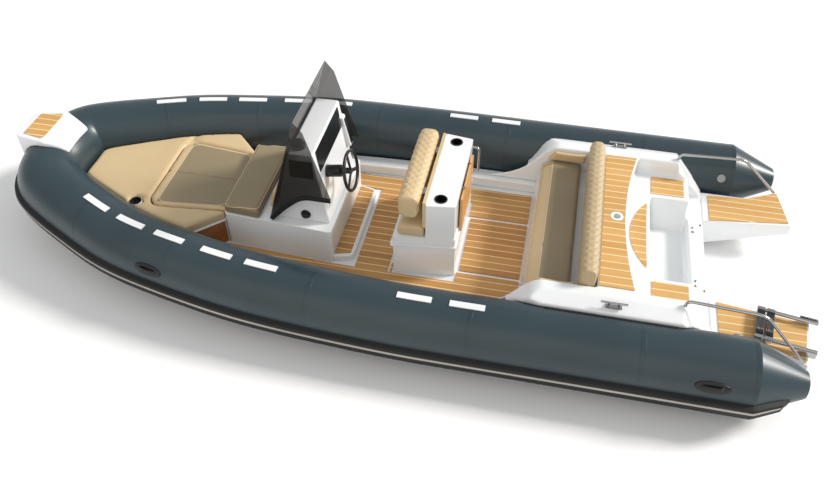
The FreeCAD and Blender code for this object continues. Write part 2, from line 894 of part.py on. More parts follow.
def hull_bow():
    """Forward hull: ruled strips between keel, chine and gunwale curves."""
    slopes = [KEEL_STEM_SLOPE, CHINE_STEM_SLOPE, GUNWALE_STEM_SLOPE]
    lines = []
    for side in (1, -1):
        for corner in (0, 1, 2):
            dx, dy, dz = slopes[corner]
            slope = V(dx, dy * side, dz)
            line = hull_line(lambda station: hull_corner(station, corner, side), slope)
            lines.append(line.toShape())
    pairs = [(0, 1), (1, 2), (3, 4), (4, 5), (0, 3), (2, 5)]
    faces = [Part.makeRuledSurface(lines[i], lines[j]) for i, j in pairs]
    faces.append(Part.Face(hull_end(HULL_STATIONS[1])))
    faces.append(Part.Face(hull_end(HULL_STATIONS[-1])))
    shell = Part.makeShell(faces)
    shell.sewShape()
    return Part.makeSolid(shell)


def spray_rails():
    """Spray rails along the straight part of the bottom."""
    start = HULL_STATIONS[0]
    low, chine = hull_corner(start, 0, 1), hull_corner(start, 1, 1)
    rails = []
    for ratio in SPRAY_RAIL_RATIOS:
        root = low + (chine - low) * ratio
        inner = low + (chine - low) * (ratio - SPRAY_RAIL_WIDTH / (chine - low).Length)
        edge = V(root.x, root.y, root.z - SPRAY_RAIL_DEPTH)
        lift = V(0, 0, 1.0)
        rails.append(prism([inner + lift, edge, root + lift], V(HULL_STATIONS[1][0] - start[0], 0, 0)))
    return rails


def hull():
    """Deep V hull with its gunwale under the collar."""
    run = V(HULL_STATIONS[1][0] - HULL_STATIONS[0][0], 0, 0)
    body = Part.Face(hull_end(HULL_STATIONS[0])).extrude(run)
    body = body.fuse(hull_bow())
    rails = spray_rails()
    body = body.fuse(rails + [mirrored(rail) for rail in rails])
    room = inside_collar(HULL_DECK_OFFSET, -50.0, HULL_DECK_Z, SUNDECK_Z)
    wall_room = inside_collar(LINER_LIP_OFFSET, LINER_AFT_X, SOLE_Z, SUNDECK_Z)
    beam = TUBE_HALF_BEAM
    wall_span = block(LINER_AFT_X, LINER_WALL_FWD_X, -beam, beam, SOLE_Z, SUNDECK_Z)
    low_z = HULL_STATIONS[0][1] - SPRAY_RAIL_DEPTH
    behind = prism_y([
        (HULL_STATIONS[0][0] - 1.0, low_z),
        (transom_x(low_z), low_z),
        (TRANSOM_AFT_X, TRANSOM_TOP_Z),
        (HULL_STATIONS[0][0] - 1.0, TRANSOM_TOP_Z),
    ], -beam, beam)
    body = body.cut(room).cut(wall_room.common(wall_span)).cut(behind).cut(ENVELOPE)
    solids = sorted(body.Solids, key=lambda solid: -solid.Volume)
    return solids[0]


def deck_liner():
    """Sole of the cockpit as a slab from side to side."""
    return inside_collar(LINER_OFFSET, LINER_AFT_X, HULL_DECK_Z, SOLE_Z)


def liner_ring():
    """Low wall that stands on the sole along the collar, both sides."""
    outer = inside_collar(LINER_LIP_OFFSET, LINER_AFT_X, SOLE_Z, LINER_LIP_Z)
    inner = inside_collar(LINER_OFFSET + LINER_WALL, LINER_AFT_X - 1.0, SOLE_Z, LINER_LIP_Z)
    beam = TUBE_HALF_BEAM
    span = block(LINER_AFT_X, LINER_WALL_FWD_X, -beam, beam, SOLE_Z, LINER_LIP_Z)
    return outer.cut(inner).common(span)


def side_walls():
    """Low walls of the cockpit that close it against the collar."""
    return liner_ring().cut(ENVELOPE)


def sole_panels():
    """Teak panels of the sole: beside, behind and ahead of the console."""
    top = SOLE_Z + TEAK_THICKNESS
    edge = TUBE_HALF_BEAM - LINER_OFFSET - LINER_WALL
    def panel(x0, x1, y0, y1):
        piece = block(x0, x1, y0, y1, SOLE_Z, top)
        return rounded(piece, TEAK_CORNER, is_upright)
    seam = TEAK_SEAM / 2
    aft = [
        panel(BENCH_FWD_X + TEAK_MARGIN, POST_SOLE_X, -edge + TEAK_EDGE, -AFT_STRIP_Y[0] - seam),
        panel(
            BENCH_FWD_X + TEAK_MARGIN,
            POST_AFT_X - TEAK_SEAM,
            -AFT_STRIP_Y[0] + seam,
            AFT_STRIP_Y[1] - seam,
        ),
        panel(BENCH_FWD_X + TEAK_MARGIN, POST_SOLE_X, AFT_STRIP_Y[1] + seam, edge - TEAK_EDGE),
    ]
    side = edge - TEAK_EDGE
    middle_aft = POST_FWD_X + POST_RIM_PROUD + TEAK_SEAM
    middle = panel(middle_aft, HELM_STEP_AFT_X - TEAK_SEAM, -side, side)
    lane = block(HELM_STEP_AFT_X, LOCKER_WING_X, CONSOLE_FWD_HALF, side, SOLE_Z, top)
    lane = lane.common(inside_collar(LINER_OFFSET + LINER_WALL + TEAK_EDGE * 0.4, LINER_AFT_X, SOLE_Z, top))
    lane = lane.cut(prism_z(console_plan(TEAK_MARGIN), SOLE_Z, top))
    far_x = CONSOLE_FWD_X * 2
    ahead = [(LOCKER_AFT_X - 1.0, 0.0)]
    ahead += wing_outline(-TEAK_MARGIN)[:2]
    ahead += [(far_x, TUBE_HALF_BEAM), (far_x, 0.0)]
    lane = lane.cut(prism_z(ahead, SOLE_Z, top))
    post_x0, post_x1 = POST_AFT_X - TEAK_MARGIN, POST_FWD_X + TEAK_MARGIN
    post_y = POST_FWD_HALF + TEAK_MARGIN
    foot = block(post_x0, post_x1, -post_y, post_y, SOLE_Z, top)
    pieces = [piece.cut(foot) for piece in aft]
    return Part.makeCompound(pieces + [middle, lane, mirrored(lane)])


def console_plan(grow):
    """Plan of the console's foot and of the helm step, grown outward."""
    return mirrored_outline([
        (CONSOLE_FWD_X + grow, CONSOLE_FWD_HALF + grow),
        (CONSOLE_AFT_X, CONSOLE_AFT_HALF + grow),
        (HELM_STEP_AFT_X - grow, CONSOLE_AFT_HALF + grow),
    ])


def wing_outline(shift):
    """Plan of the corner cut off beside the console, moved forward by shift."""
    x0, y0 = LOCKER_AFT_X - 1.0, LOCKER_AFT_HALF
    slope = (LOCKER_WING_X - x0) / (LOCKER_WING_Y - y0)
    far_x = x0 + slope * (TUBE_HALF_BEAM - y0)
    return [
        (x0, y0 - shift / slope),
        (far_x + shift, TUBE_HALF_BEAM),
        (x0, TUBE_HALF_BEAM),
    ]


def bow_locker():
    """White base under the bow cushions, with the wings of its aft edge."""
    foot_offset = LINER_OFFSET + LINER_WALL + 1.0
    foot = inside_collar(foot_offset, LOCKER_AFT_X, SOLE_Z, LOCKER_SHELF_Z)
    shelf = inside_collar(LOCKER_OFFSET, LOCKER_AFT_X, LOCKER_SHELF_Z, LOCKER_TOP_Z)
    full = foot.fuse(shelf)
    corner = prism_z(wing_outline(0.0), SOLE_Z - 1.0, LOCKER_TOP_Z + 1.0)
    body = full.cut(corner).cut(mirrored(corner)).cut(ENVELOPE)
    cup = Part.makeCylinder(CUP_RADIUS, CUP_DEPTH, V(BOW_CUP_X, BOW_CUP_Y, BOW_CUP_RIM_Z - CUP_DEPTH))
    boss_height = BOW_CUP_RIM_Z - LOCKER_TOP_Z
    boss_foot = V(BOW_CUP_X, BOW_CUP_Y, LOCKER_TOP_Z)
    boss = Part.makeCylinder(CUP_RADIUS + BOW_CUP_WALL, boss_height, boss_foot)
    return body.fuse(boss).cut(cup).removeSplitter()


def cushion_room():
    """Everything the bow cushions may fill, up to the collar."""
    return inside_collar(CUSHION_OFFSET, LOCKER_AFT_X, LOCKER_TOP_Z, LOCKER_TOP_Z + CUSHION_THICKNESS)


def mattress_outline(grow):
    """Plan of the infill mattress, grown outward."""
    return [
        (MATTRESS_FWD_X + grow, MATTRESS_FWD_HALF + grow),
        (LOCKER_AFT_X - 1.0 - grow, MATTRESS_AFT_HALF + grow),
    ]


def mattress():
    """Infill mattress between the bow seats."""
    half = mattress_outline(0.0)
    z0, z1 = LOCKER_TOP_Z, LOCKER_TOP_Z + CUSHION_THICKNESS
    shape = prism_z(mirrored_outline(half), z0, z1)
    shape = shape.common(block(LOCKER_AFT_X + SEAT_CLEARANCE, MATTRESS_FWD_X, -900.0, 900.0, z0, z1))
    ahead = lambda edge: is_upright(edge) and edge.BoundBox.XMin > MATTRESS_FWD_X - 1.0
    shape = rounded(shape, MATTRESS_CORNER, ahead)
    return rounded(shape, CUSHION_ROUND, at_height(z1))


def bow_cushions():
    """Cushions round the bow: the forward one and the two side ones."""
    z0, z1 = LOCKER_TOP_Z, LOCKER_TOP_Z + CUSHION_THICKNESS
    room = cushion_room()
    hole = prism_z(mirrored_outline(mattress_outline(CUSHION_GAP)), z0, z1)
    ahead = lambda edge: is_upright(edge) and edge.BoundBox.XMin > MATTRESS_FWD_X - 1.0
    hole = rounded(hole, MATTRESS_CORNER + CUSHION_GAP, ahead)
    room = room.cut(hole)
    corner = prism_z(wing_outline(CUSHION_EDGE), z0, z1)
    room = room.cut(corner).cut(mirrored(corner))
    cup_room = CUP_RADIUS + BOW_CUP_WALL + CUSHION_GAP * 2
    cup_cut = Part.makeCylinder(cup_room, z1 - z0, V(BOW_CUP_X, BOW_CUP_Y, z0))
    room = room.cut(cup_cut)
    split = prism_z([
        (BOW_SPLIT_X, MATTRESS_AFT_HALF * 0.5),
        (BOW_SPLIT_X + CUSHION_GAP, MATTRESS_AFT_HALF * 0.5),
        (BOW_SPLIT_X + CUSHION_GAP + 60.0, TUBE_HALF_BEAM),
        (BOW_SPLIT_X + 60.0, TUBE_HALF_BEAM),
    ], z0, z1)
    room = room.cut(split).cut(mirrored(split))
    pieces = [piece for piece in room.Solids if piece.Volume > 1e5]
    return Part.makeCompound(pieces)


def bow_step():
    """White step on the nose of the collar."""
    half = [
        (BOW_STEP_AFT_X, BOW_STEP_AFT_HALF),
        (BOW_STEP_TOP_AFT_X, BOW_STEP_MID_HALF),
        (BOW_STEP_FWD_X, BOW_STEP_FWD_HALF),
    ]
    plan = prism_z(mirrored_outline(half), BOW_STEP_SKIRT_Z, BOW_STEP_TOP_Z)
    front = lambda edge: is_upright(edge) and edge.BoundBox.XMin > BOW_STEP_FWD_X - 1.0
    plan = rounded(plan, BOW_STEP_ROUND, front)
    side = prism_y([
        (BOW_STEP_AFT_X, BOW_STEP_SKIRT_Z),
        (BOW_STEP_AFT_X, BOW_STEP_AFT_Z),
        (BOW_STEP_TOP_AFT_X, BOW_STEP_TOP_Z),
        (BOW_STEP_FWD_X, BOW_STEP_TOP_Z),
        (BOW_STEP_FWD_X, BOW_STEP_LIP_Z),
        (BOW_STEP_FWD_X - BOW_STEP_TUCK, BOW_STEP_SKIRT_Z),
    ], -BOW_STEP_MID_HALF, BOW_STEP_MID_HALF)
    body = plan.common(side).cut(ENVELOPE)
    solids = sorted(body.Solids, key=lambda solid: -solid.Volume)
    return solids[0]


def bow_step_teak():
    """Teak pad on the bow step."""
    half = [
        (BOW_STEP_TEAK_AFT_X, BOW_STEP_TEAK_AFT_HALF),
        (BOW_STEP_TEAK_FWD_X, BOW_STEP_TEAK_FWD_HALF),
    ]
    pad = prism_z(mirrored_outline(half), BOW_STEP_TOP_Z, BOW_STEP_TOP_Z + BOW_STEP_TEAK)
    return rounded(pad, BOW_STEP_TEAK_ROUND, is_upright)


def console_base():
    """Lower console box, its forward part under the console seat."""
    half = [
        (CONSOLE_FWD_X, CONSOLE_FWD_HALF),
        (CONSOLE_AFT_X, CONSOLE_AFT_HALF),
    ]
    body = prism_z(mirrored_outline(half), SOLE_Z, CONSOLE_LEDGE_Z)
    body = rounded(body, CONSOLE_ROUND, is_upright)
    wide = CONSOLE_AFT_HALF
    seat_fwd_x = CONSOLE_FWD_X + 1.0
    seat = block(CONSOLE_SEAT_AFT_X, seat_fwd_x, -wide, wide, CONSOLE_SEAT_Z, CONSOLE_LEDGE_Z)
    return body.cut(seat)


def console_seat():
    """Cushion ahead of the console."""
    x0, x1 = CONSOLE_SEAT_AFT_X + 6.0, CONSOLE_FWD_X
    half = [(x1, CONSOLE_FWD_HALF - 6.0), (x0, CONSOLE_FWD_HALF + 18.0)]
    top = CONSOLE_SEAT_Z + CONSOLE_SEAT_THICKNESS
    body = prism_z(mirrored_outline(half), CONSOLE_SEAT_Z, top)
    return soft(body, CUSHION_ROUND)


def console_backrest():
    """Thin back pad at the foot of the windscreen."""
    z0 = CONSOLE_SEAT_Z + CONSOLE_SEAT_THICKNESS + 4.0
    z1 = z0 + CONSOLE_PAD_HEIGHT
    def front(z):
        return glass_line(z) + GLASS_GAP
    outline = [
        (front(z0), z0),
        (front(z0) + CONSOLE_PAD_THICKNESS, z0),
        (front(z1) + CONSOLE_PAD_THICKNESS, z1),
        (front(z1), z1),
    ]
    body = prism_y(outline, -CONSOLE_PAD_HALF, CONSOLE_PAD_HALF)
    return soft(body, CONSOLE_PAD_THICKNESS / 4)


def tower_outline():
    """Side outline of the console tower as (x, z)."""
    return [
        (TOWER_AFT_FOOT_X, CONSOLE_LEDGE_Z),
        (TOWER_FOOT_X, CONSOLE_LEDGE_Z),
        (DASH_FWD_X, DASH_TOP_Z),
        (DASH_AFT_X, DASH_TOP_Z),
    ]


def console_tower():
    """Upper console with the dash and the helm face."""
    body = prism_y(tower_outline(), -TOWER_HALF, TOWER_HALF)
    lean = (DASH_AFT_X - TOWER_AFT_FOOT_X) / (DASH_TOP_Z - CONSOLE_LEDGE_Z)
    def face(z):
        return TOWER_AFT_FOOT_X + lean * (z - CONSOLE_LEDGE_Z)
    pod = prism_y([
        (face(POD_TOP_Z) + 20.0, POD_TOP_Z),
        (face(POD_TOP_Z) - POD_PROUD * 0.6, POD_TOP_Z),
        (face(POD_BOTTOM_Z) - POD_PROUD, POD_BOTTOM_Z),
        (face(POD_BOTTOM_Z) + 20.0, POD_BOTTOM_Z - 30.0),
    ], -TOWER_HALF, -TOWER_HALF + POD_WIDTH)
    return body.fuse(pod).removeSplitter()


def helm_face_x(z):
    """X of the tower's aft face at a height."""
    lean = (DASH_AFT_X - TOWER_AFT_FOOT_X) / (DASH_TOP_Z - CONSOLE_LEDGE_Z)
    return TOWER_AFT_FOOT_X + lean * (z - CONSOLE_LEDGE_Z)


def face_plate(y0, y1, z0, z1, base, thickness):
    """Plate that lies on the tower's aft face."""
    outline = [
        (helm_face_x(z0) - base, z0),
        (helm_face_x(z1) - base, z1),
        (helm_face_x(z1) - base - thickness, z1),
        (helm_face_x(z0) - base - thickness, z0),
    ]
    return prism_y(outline, y0, y1)


def instrument_panel():
    """Black panel across the helm face, with a small one on the pod."""
    return face_plate(-PANEL_HALF, PANEL_HALF, PANEL_BOTTOM_Z, PANEL_TOP_Z, 0.0, PANEL_THICKNESS)


def pod_panel():
    """Black switch panel on the pod's aft face."""
    z0, z1 = POD_BOTTOM_Z + 24.0, POD_TOP_Z - 24.0
    run = helm_face_x(POD_TOP_Z) - POD_PROUD * 0.6 - helm_face_x(POD_BOTTOM_Z) + POD_PROUD
    slope = run / (POD_TOP_Z - POD_BOTTOM_Z)
    def pod_x(z):
        return helm_face_x(POD_BOTTOM_Z) - POD_PROUD + slope * (z - POD_BOTTOM_Z)
    outline = [
        (pod_x(z0), z0),
        (pod_x(z1), z1),
        (pod_x(z1) - PANEL_THICKNESS, z1),
        (pod_x(z0) - PANEL_THICKNESS, z0),
    ]
    return prism_y(outline, -TOWER_HALF + 16.0, -TOWER_HALF + POD_WIDTH - 16.0)


def console_panels():
    """All thin black panels of the console."""
    return Part.makeCompound([instrument_panel(), pod_panel()] + side_panels().Solids)


def side_panels():
    """Black plates on the tower's two sides below the dash."""
    face = TOWER_HALF + PANEL_THICKNESS
    low, high = SIDE_PANEL_BOTTOM_Z, SIDE_PANEL_TOP_Z
    plate = block(SIDE_PANEL_AFT_X, SIDE_PANEL_FWD_X, TOWER_HALF, face, low, high)
    return both_sides(plate)


def compass():
    """Round compass on the dash top."""
    bowl = Part.makeCylinder(COMPASS_RADIUS, COMPASS_HEIGHT, V(COMPASS_X, COMPASS_Y, DASH_TOP_Z))
    return rounded(bowl, COMPASS_ROUND, at_height(DASH_TOP_Z + COMPASS_HEIGHT))


def side_socket():
    """Round control socket with its plate on the port ledge."""
    face = TOWER_HALF + SOCKET_THICKNESS
    aft, fwd = SOCKET_X - SOCKET_HALF, SOCKET_X + SOCKET_HALF
    low, high = SOCKET_Z - SOCKET_HALF, SOCKET_Z + SOCKET_HALF
    plate = block(aft, fwd, TOWER_HALF, face, low, high)
    return plate


def side_knob():
    """Black knob on the socket plate."""
    y = TOWER_HALF + SOCKET_THICKNESS
    foot = Part.makeCylinder(SOCKET_HALF * 0.62, 12.0, V(SOCKET_X, y, SOCKET_Z), V(0, 1, 0))
    knob = Part.makeCylinder(SOCKET_HALF * 0.4, 34.0, V(SOCKET_X, y, SOCKET_Z), V(0, 1, 0))
    return foot.fuse(knob).removeSplitter()


def glass_line(z):
    """X of the windscreen's front edge at a height."""
    lean = (GLASS_FOOT_X - GLASS_TOP_X) / (GLASS_TOP_Z - GLASS_FOOT_Z)
    return GLASS_FOOT_X - lean * (z - GLASS_FOOT_Z)


def windscreen():
    """Front pane and two wings in one piece of smoked glass."""
    y0, y1 = GLASS_HALF - GLASS_THICKNESS, GLASS_HALF
    wing_outline = [
        (GLASS_FOOT_X, GLASS_FOOT_Z),
        (WING_KNEE_X, WING_KNEE_Z),
        (WING_MID_X, WING_AFT_Z),
        (WING_AFT_X, WING_AFT_Z),
        (WING_TOP_X, WING_TOP_Z),
        (GLASS_TOP_X, GLASS_TOP_Z),
    ]
    wing = prism_y(wing_outline, y0, y1)
    front_outline = [
        (GLASS_FOOT_X, GLASS_FOOT_Z),
        (GLASS_TOP_X, GLASS_TOP_Z),
        (GLASS_TOP_X - GLASS_THICKNESS, GLASS_TOP_Z),
        (GLASS_FOOT_X - GLASS_THICKNESS, GLASS_FOOT_Z),
    ]
    front = prism_y(front_outline, -GLASS_HALF, GLASS_HALF)
    return front.fuse(wing).fuse(mirrored(wing)).removeSplitter()


def windscreen_trim():
    """Black trim along the foot of the windscreen's wings."""
    y = GLASS_HALF + TRIM_RADIUS + SEAT_CLEARANCE
    points = [
        V(WING_AFT_X, y, WING_AFT_Z),
        V(WING_MID_X, y, WING_AFT_Z),
        V(WING_KNEE_X, y, WING_KNEE_Z),
        V(GLASS_FOOT_X - TRIM_RADIUS * 2, y, GLASS_FOOT_Z + TRIM_RADIUS * 1.5),
    ]
    rod = bent_rod(points, TRIM_RADIUS, [TRIM_BEND] * 2)
    return both_sides(rod)


def helm_axis():
    """Unit direction of the steering column, aft and up."""
    angle = math.radians(HELM_TILT)
    return V(-math.cos(angle), 0, math.sin(angle))


def helm_foot():
    """Point where the steering column leaves the tower's aft face."""
    return V(helm_face_x(HELM_Z), WHEEL_Y, HELM_Z)


def helm_hub():
    """Fixed black housing of the helm."""
    axis = helm_axis()
    start = helm_foot() - axis * 12.0
    body = Part.makeCylinder(HUB_RADIUS, HUB_LENGTH + 12.0, start, axis)
    outside = body.cut(console_tower())
    solids = sorted(outside.Solids, key=lambda solid: -solid.Volume)
    return solids[0]


def wheel_centre():
    """Centre of the steering wheel's rim."""
    return helm_foot() + helm_axis() * (HUB_LENGTH + WHEEL_DISH)


def steering_wheel():
    """Rim, three spokes and boss."""
    axis = helm_axis()
    centre = wheel_centre()
    rim = Part.makeTorus(WHEEL_RADIUS, WHEEL_RIM, centre, axis)
    boss_start = centre - axis * (WHEEL_DISH - HELM_RUN)
    wheel = rim.fuse(Part.makeCylinder(WHEEL_BOSS, WHEEL_DISH - HELM_RUN + 8.0, boss_start, axis))
    upward = V(math.sin(math.radians(HELM_TILT)), 0, math.cos(math.radians(HELM_TILT)))
    sideways = V(0, 1, 0)
    for degrees in SPOKE_ANGLES:
        angle = math.radians(degrees)
        out = sideways * math.cos(angle) + upward * math.sin(angle)
        across = axis.cross(out)
        start = centre - axis * SPOKE_THICKNESS / 2
        corners = [
            start - across * SPOKE_WIDTH / 2,
            start - across * SPOKE_WIDTH / 2 + out * WHEEL_RADIUS,
            start + across * SPOKE_WIDTH / 2 + out * WHEEL_RADIUS,
            start + across * SPOKE_WIDTH / 2,
        ]
        wheel = wheel.fuse(prism(corners, axis * SPOKE_THICKNESS))
    return wheel.removeSplitter()


def helm_step():
    """White step behind the console."""
    half = [(CONSOLE_AFT_X - SEAT_CLEARANCE, HELM_STEP_FWD_HALF), (HELM_STEP_AFT_X, HELM_STEP_AFT_HALF)]
    body = prism_z(mirrored_outline(half), SOLE_Z, HELM_STEP_Z)
    aft = lambda edge: is_upright(edge) and edge.BoundBox.XMax < HELM_STEP_AFT_X + 1.0
    body = rounded(body, HELM_STEP_ROUND, aft)
    top = at_height(HELM_STEP_Z)
    rim = lambda edge: top(edge) and edge.BoundBox.XMin < CONSOLE_AFT_X - 2.0
    return rounded(body, HELM_STEP_EDGE, rim)


def helm_step_teak():
    """Teak pad on the helm step."""
    margin = HELM_STEP_MARGIN
    half = [
        (CONSOLE_AFT_X - margin * 0.5, HELM_STEP_FWD_HALF - margin),
        (HELM_STEP_AFT_X + margin, HELM_STEP_AFT_HALF - margin),
    ]
    pad = prism_z(mirrored_outline(half), HELM_STEP_Z, HELM_STEP_Z + TEAK_THICKNESS * 0.6)
    return rounded(pad, TEAK_CORNER, is_upright)


def post_base():
    """Lower box of the leaning post with a rim round its top."""
    half = [(POST_FWD_X, POST_FWD_HALF), (POST_AFT_X, POST_AFT_HALF)]
    box = prism_z(mirrored_outline(half), SOLE_Z, POST_RIM_Z)
    box = rounded(box, POST_ROUND, is_upright)
    proud = POST_RIM_PROUD
    rim_half = [
        (POST_FWD_X + proud, POST_FWD_HALF + proud * 0.6),
        (POST_AFT_X - proud * 0.3, POST_AFT_HALF + proud * 0.6),
    ]
    rim = prism_z(mirrored_outline(rim_half), POST_RIM_Z - POST_RIM_HEIGHT, POST_RIM_Z)
    rim = rounded(rim, POST_ROUND, is_upright)
    return box.fuse(rim).removeSplitter()


def post_cabinet():
    """Upper part of the leaning post: a plinth and a cabinet with cup wells."""
    plinth_half = [(POST_FWD_X, POST_FWD_HALF), (POST_AFT_X + 4.0, POST_AFT_HALF + 4.0)]
    plinth = prism_z(mirrored_outline(plinth_half), POST_RIM_Z, POST_PLINTH_Z)
    plinth = rounded(plinth, POST_ROUND, is_upright)
    half = [(POST_TOP_FWD_X, POST_TOP_FWD_HALF), (POST_TOP_AFT_X, POST_TOP_AFT_HALF)]
    body = prism_z(mirrored_outline(half), POST_RIM_Z, POST_TOP_Z)
    body = rounded(body, POST_ROUND, is_upright)
    body = body.fuse(plinth).removeSplitter()
    for side in (-1, 1):
        well = Part.makeCylinder(CUP_RADIUS, CUP_DEPTH + 1.0, V(CUP_X, side * CUP_Y, POST_TOP_Z - CUP_DEPTH))
        body = body.cut(well)
    return body


def cup_liners():
    """Black cups in the wells of the leaning post, with flat rims."""
    outer = CUP_RADIUS - SEAT_CLEARANCE
    floor_z = POST_TOP_Z - CUP_DEPTH
    cup = Part.makeCylinder(outer, CUP_DEPTH, V(CUP_X, CUP_Y, floor_z))
    rim = Part.makeCylinder(CUP_RADIUS + CUP_RIM, CUP_WALL, V(CUP_X, CUP_Y, POST_TOP_Z))
    room = Part.makeCylinder(outer - CUP_WALL, CUP_DEPTH + CUP_WALL, V(CUP_X, CUP_Y, floor_z + CUP_WALL))
    return both_sides(cup.fuse(rim).cut(room))


def post_seat():
    """Seat cushion on the plinth."""
    half = [(POST_SEAT_FWD_X, POST_FWD_HALF - 22.0), (POST_SEAT_AFT_X, POST_TOP_FWD_HALF - 8.0)]
    body = prism_z(mirrored_outline(half), POST_PLINTH_Z, POST_SEAT_TOP_Z)
    return soft(body, CUSHION_ROUND)


def bolster_backing():
    """Board that carries the bolster on the cabinet's forward face."""
    y = POST_TOP_FWD_HALF - 14.0
    return block(POST_TOP_FWD_X, POST_TOP_FWD_X + BACKING_THICKNESS, -y, y, BACKING_BOTTOM_Z, BACKING_TOP_Z)


def roll(outline, half, radius):
    """Cushion roll with a side outline and rounded edges."""
    body = prism_y(outline, -half, half)
    body = rounded(body, radius, lambda edge: edge.BoundBox.YLength > half)
    ends = [edge for edge in body.Edges if edge.BoundBox.YLength < 1e-3]
    return body.makeFillet(ROLL_END_ROUND, ends)


def bolster():
    """Quilted bolster of the leaning post."""
    outline = [
        (BOLSTER_AFT_X, BOLSTER_BOTTOM_Z),
        (BOLSTER_FWD_X, BOLSTER_BOTTOM_Z),
        (BOLSTER_FWD_X, BOLSTER_TOP_Z),
        (BOLSTER_AFT_X, BOLSTER_TOP_Z),
    ]
    return roll(outline, BOLSTER_HALF, BOLSTER_ROUND)


def bolster_brackets():
    """Spacers between the backing board and the bolster."""
    x0 = POST_TOP_FWD_X + BACKING_THICKNESS
    low = BOLSTER_BOTTOM_Z + 60.0
    piece = block(x0, BOLSTER_AFT_X - SEAT_CLEARANCE, CUP_Y - 150.0, CUP_Y - 70.0, low, low + 90.0)
    return both_sides(piece)


def table_hinge_pin():
    """X and Z of the folding table's hinge line."""
    x = POST_TOP_AFT_X - TABLE_HINGE_GAP
    return x, TABLE_TOP_Z + TABLE_HINGE_RADIUS


def folding_table():
    """Teak faced table leaf that hangs on the post's aft face."""
    x, z = table_hinge_pin()
    deep = TABLE_THICKNESS / 2
    leaf_top = z - TABLE_HINGE_RADIUS - 2.0
    leaf = block(x - deep, x + deep, -TABLE_HALF, TABLE_HALF, TABLE_BOTTOM_Z, leaf_top)
    def low_corner(edge):
        across = edge.BoundBox.XLength > TABLE_THICKNESS * 0.9
        return across and abs(edge.BoundBox.ZMin - TABLE_BOTTOM_Z) < 1e-3
    leaf = rounded(leaf, TABLE_ROUND, low_corner)
    barrel = Part.makeCylinder(TABLE_HINGE_RADIUS, TABLE_HALF, V(x, -TABLE_HALF / 2, z), V(0, 1, 0))
    half = TABLE_HALF / 2
    web_foot = z - TABLE_HINGE_RADIUS - 4.0
    web = block(x - TABLE_WEB / 2, x + TABLE_WEB / 2, -half, half, web_foot, z)
    bore_start = V(x, -half - 1.0, z)
    bore = Part.makeCylinder(TABLE_PIN_RADIUS + TABLE_PIN_PLAY, TABLE_HALF + 2.0, bore_start, V(0, 1, 0))
    return leaf.fuse(web).fuse(barrel).cut(bore).removeSplitter()


def table_bracket():
    """Fixed hinge bracket: two lugs on the post and the pin between them."""
    x, z = table_hinge_pin()
    inner = TABLE_HALF / 2 + TABLE_LUG_GAP
    outer = inner + TABLE_LUG
    lug = block(x, POST_TOP_AFT_X, inner, outer, z - TABLE_HINGE_RADIUS, z + TABLE_HINGE_RADIUS)
    lug = lug.fuse(Part.makeCylinder(TABLE_HINGE_RADIUS, TABLE_LUG, V(x, inner, z), V(0, 1, 0)))
    pin = Part.makeCylinder(TABLE_PIN_RADIUS, outer * 2, V(x, -outer, z), V(0, 1, 0))
    return pin.fuse(lug).fuse(mirrored(lug)).removeSplitter()


def grab_rail():
    """Grab rail at the starboard aft corner of the leaning post."""
    wall = POST_TOP_AFT_X
    points = [
        V(wall, GRAB_Y, GRAB_BOTTOM_Z),
        V(wall - GRAB_STAND_OFF, GRAB_Y, GRAB_BOTTOM_Z),
        V(wall - GRAB_STAND_OFF, GRAB_Y, GRAB_TOP_Z),
        V(wall, GRAB_Y, GRAB_TOP_Z),
    ]
    return bent_rod(points, GRAB_RADIUS, [GRAB_BEND] * 2)


def bench_base():
    """White base of the aft bench."""
    side = TUBE_HALF_BEAM - LINER_OFFSET - LINER_WALL - 1.0
    low = block(SUNDECK_FWD_X, BENCH_FWD_X, -side, side, SOLE_Z, LINER_LIP_Z + 1.0)
    fwd = BENCH_FWD_X - BENCH_NOSE
    high = block(SUNDECK_FWD_X, fwd, -BENCH_HALF, BENCH_HALF, LINER_LIP_Z + 1.0, BENCH_TOP_Z)
    top = block(SUNDECK_FWD_X, BENCH_FWD_X - BENCH_NOSE, -side, side, LINER_LIP_Z, BENCH_TOP_Z)
    nose = prism_y([
        (BENCH_FWD_X - BENCH_NOSE, LINER_LIP_Z),
        (BENCH_FWD_X, LINER_LIP_Z),
        (BENCH_FWD_X - BENCH_NOSE, BENCH_TOP_Z),
    ], -side, side)
    return low.fuse(top).fuse(high).fuse(nose).removeSplitter()


def bench_cushions():
    """Seat cushions of the bench: a wide one and a narrow one to port."""
    outline = [
        (BENCH_SEAT_AFT_X, BENCH_TOP_Z),
        (BENCH_FWD_X - BENCH_NOSE, BENCH_TOP_Z),
        (BENCH_FWD_X - BENCH_NOSE + 6.0, BENCH_SEAT_TOP_Z - 46.0),
        (BENCH_ROLL_X, BENCH_SEAT_TOP_Z + BENCH_ROLL_RISE),
        (BENCH_SEAT_AFT_X, BENCH_SEAT_TOP_Z),
    ]
    wide = prism_y(outline, -BENCH_HALF + 4.0, BENCH_SEAM_Y - CUSHION_GAP / 2)
    narrow = prism_y(outline, BENCH_SEAM_Y + CUSHION_GAP / 2, BENCH_HALF - 4.0)
    return Part.makeCompound([soft(wide, BENCH_ROUND), soft(narrow, BENCH_ROUND)])


def bench_backrest():
    """Quilted backrest roll of the bench."""
    outline = [
        (BACKREST_AFT_X + 14.0, BACKREST_BOTTOM_Z),
        (BACKREST_FWD_X, BACKREST_BOTTOM_Z),
        (BACKREST_FWD_X - 10.0, BACKREST_TOP_Z),
        (BACKREST_AFT_X, BACKREST_TOP_Z),
    ]
    return roll(outline, BACKREST_HALF, BACKREST_ROUND)


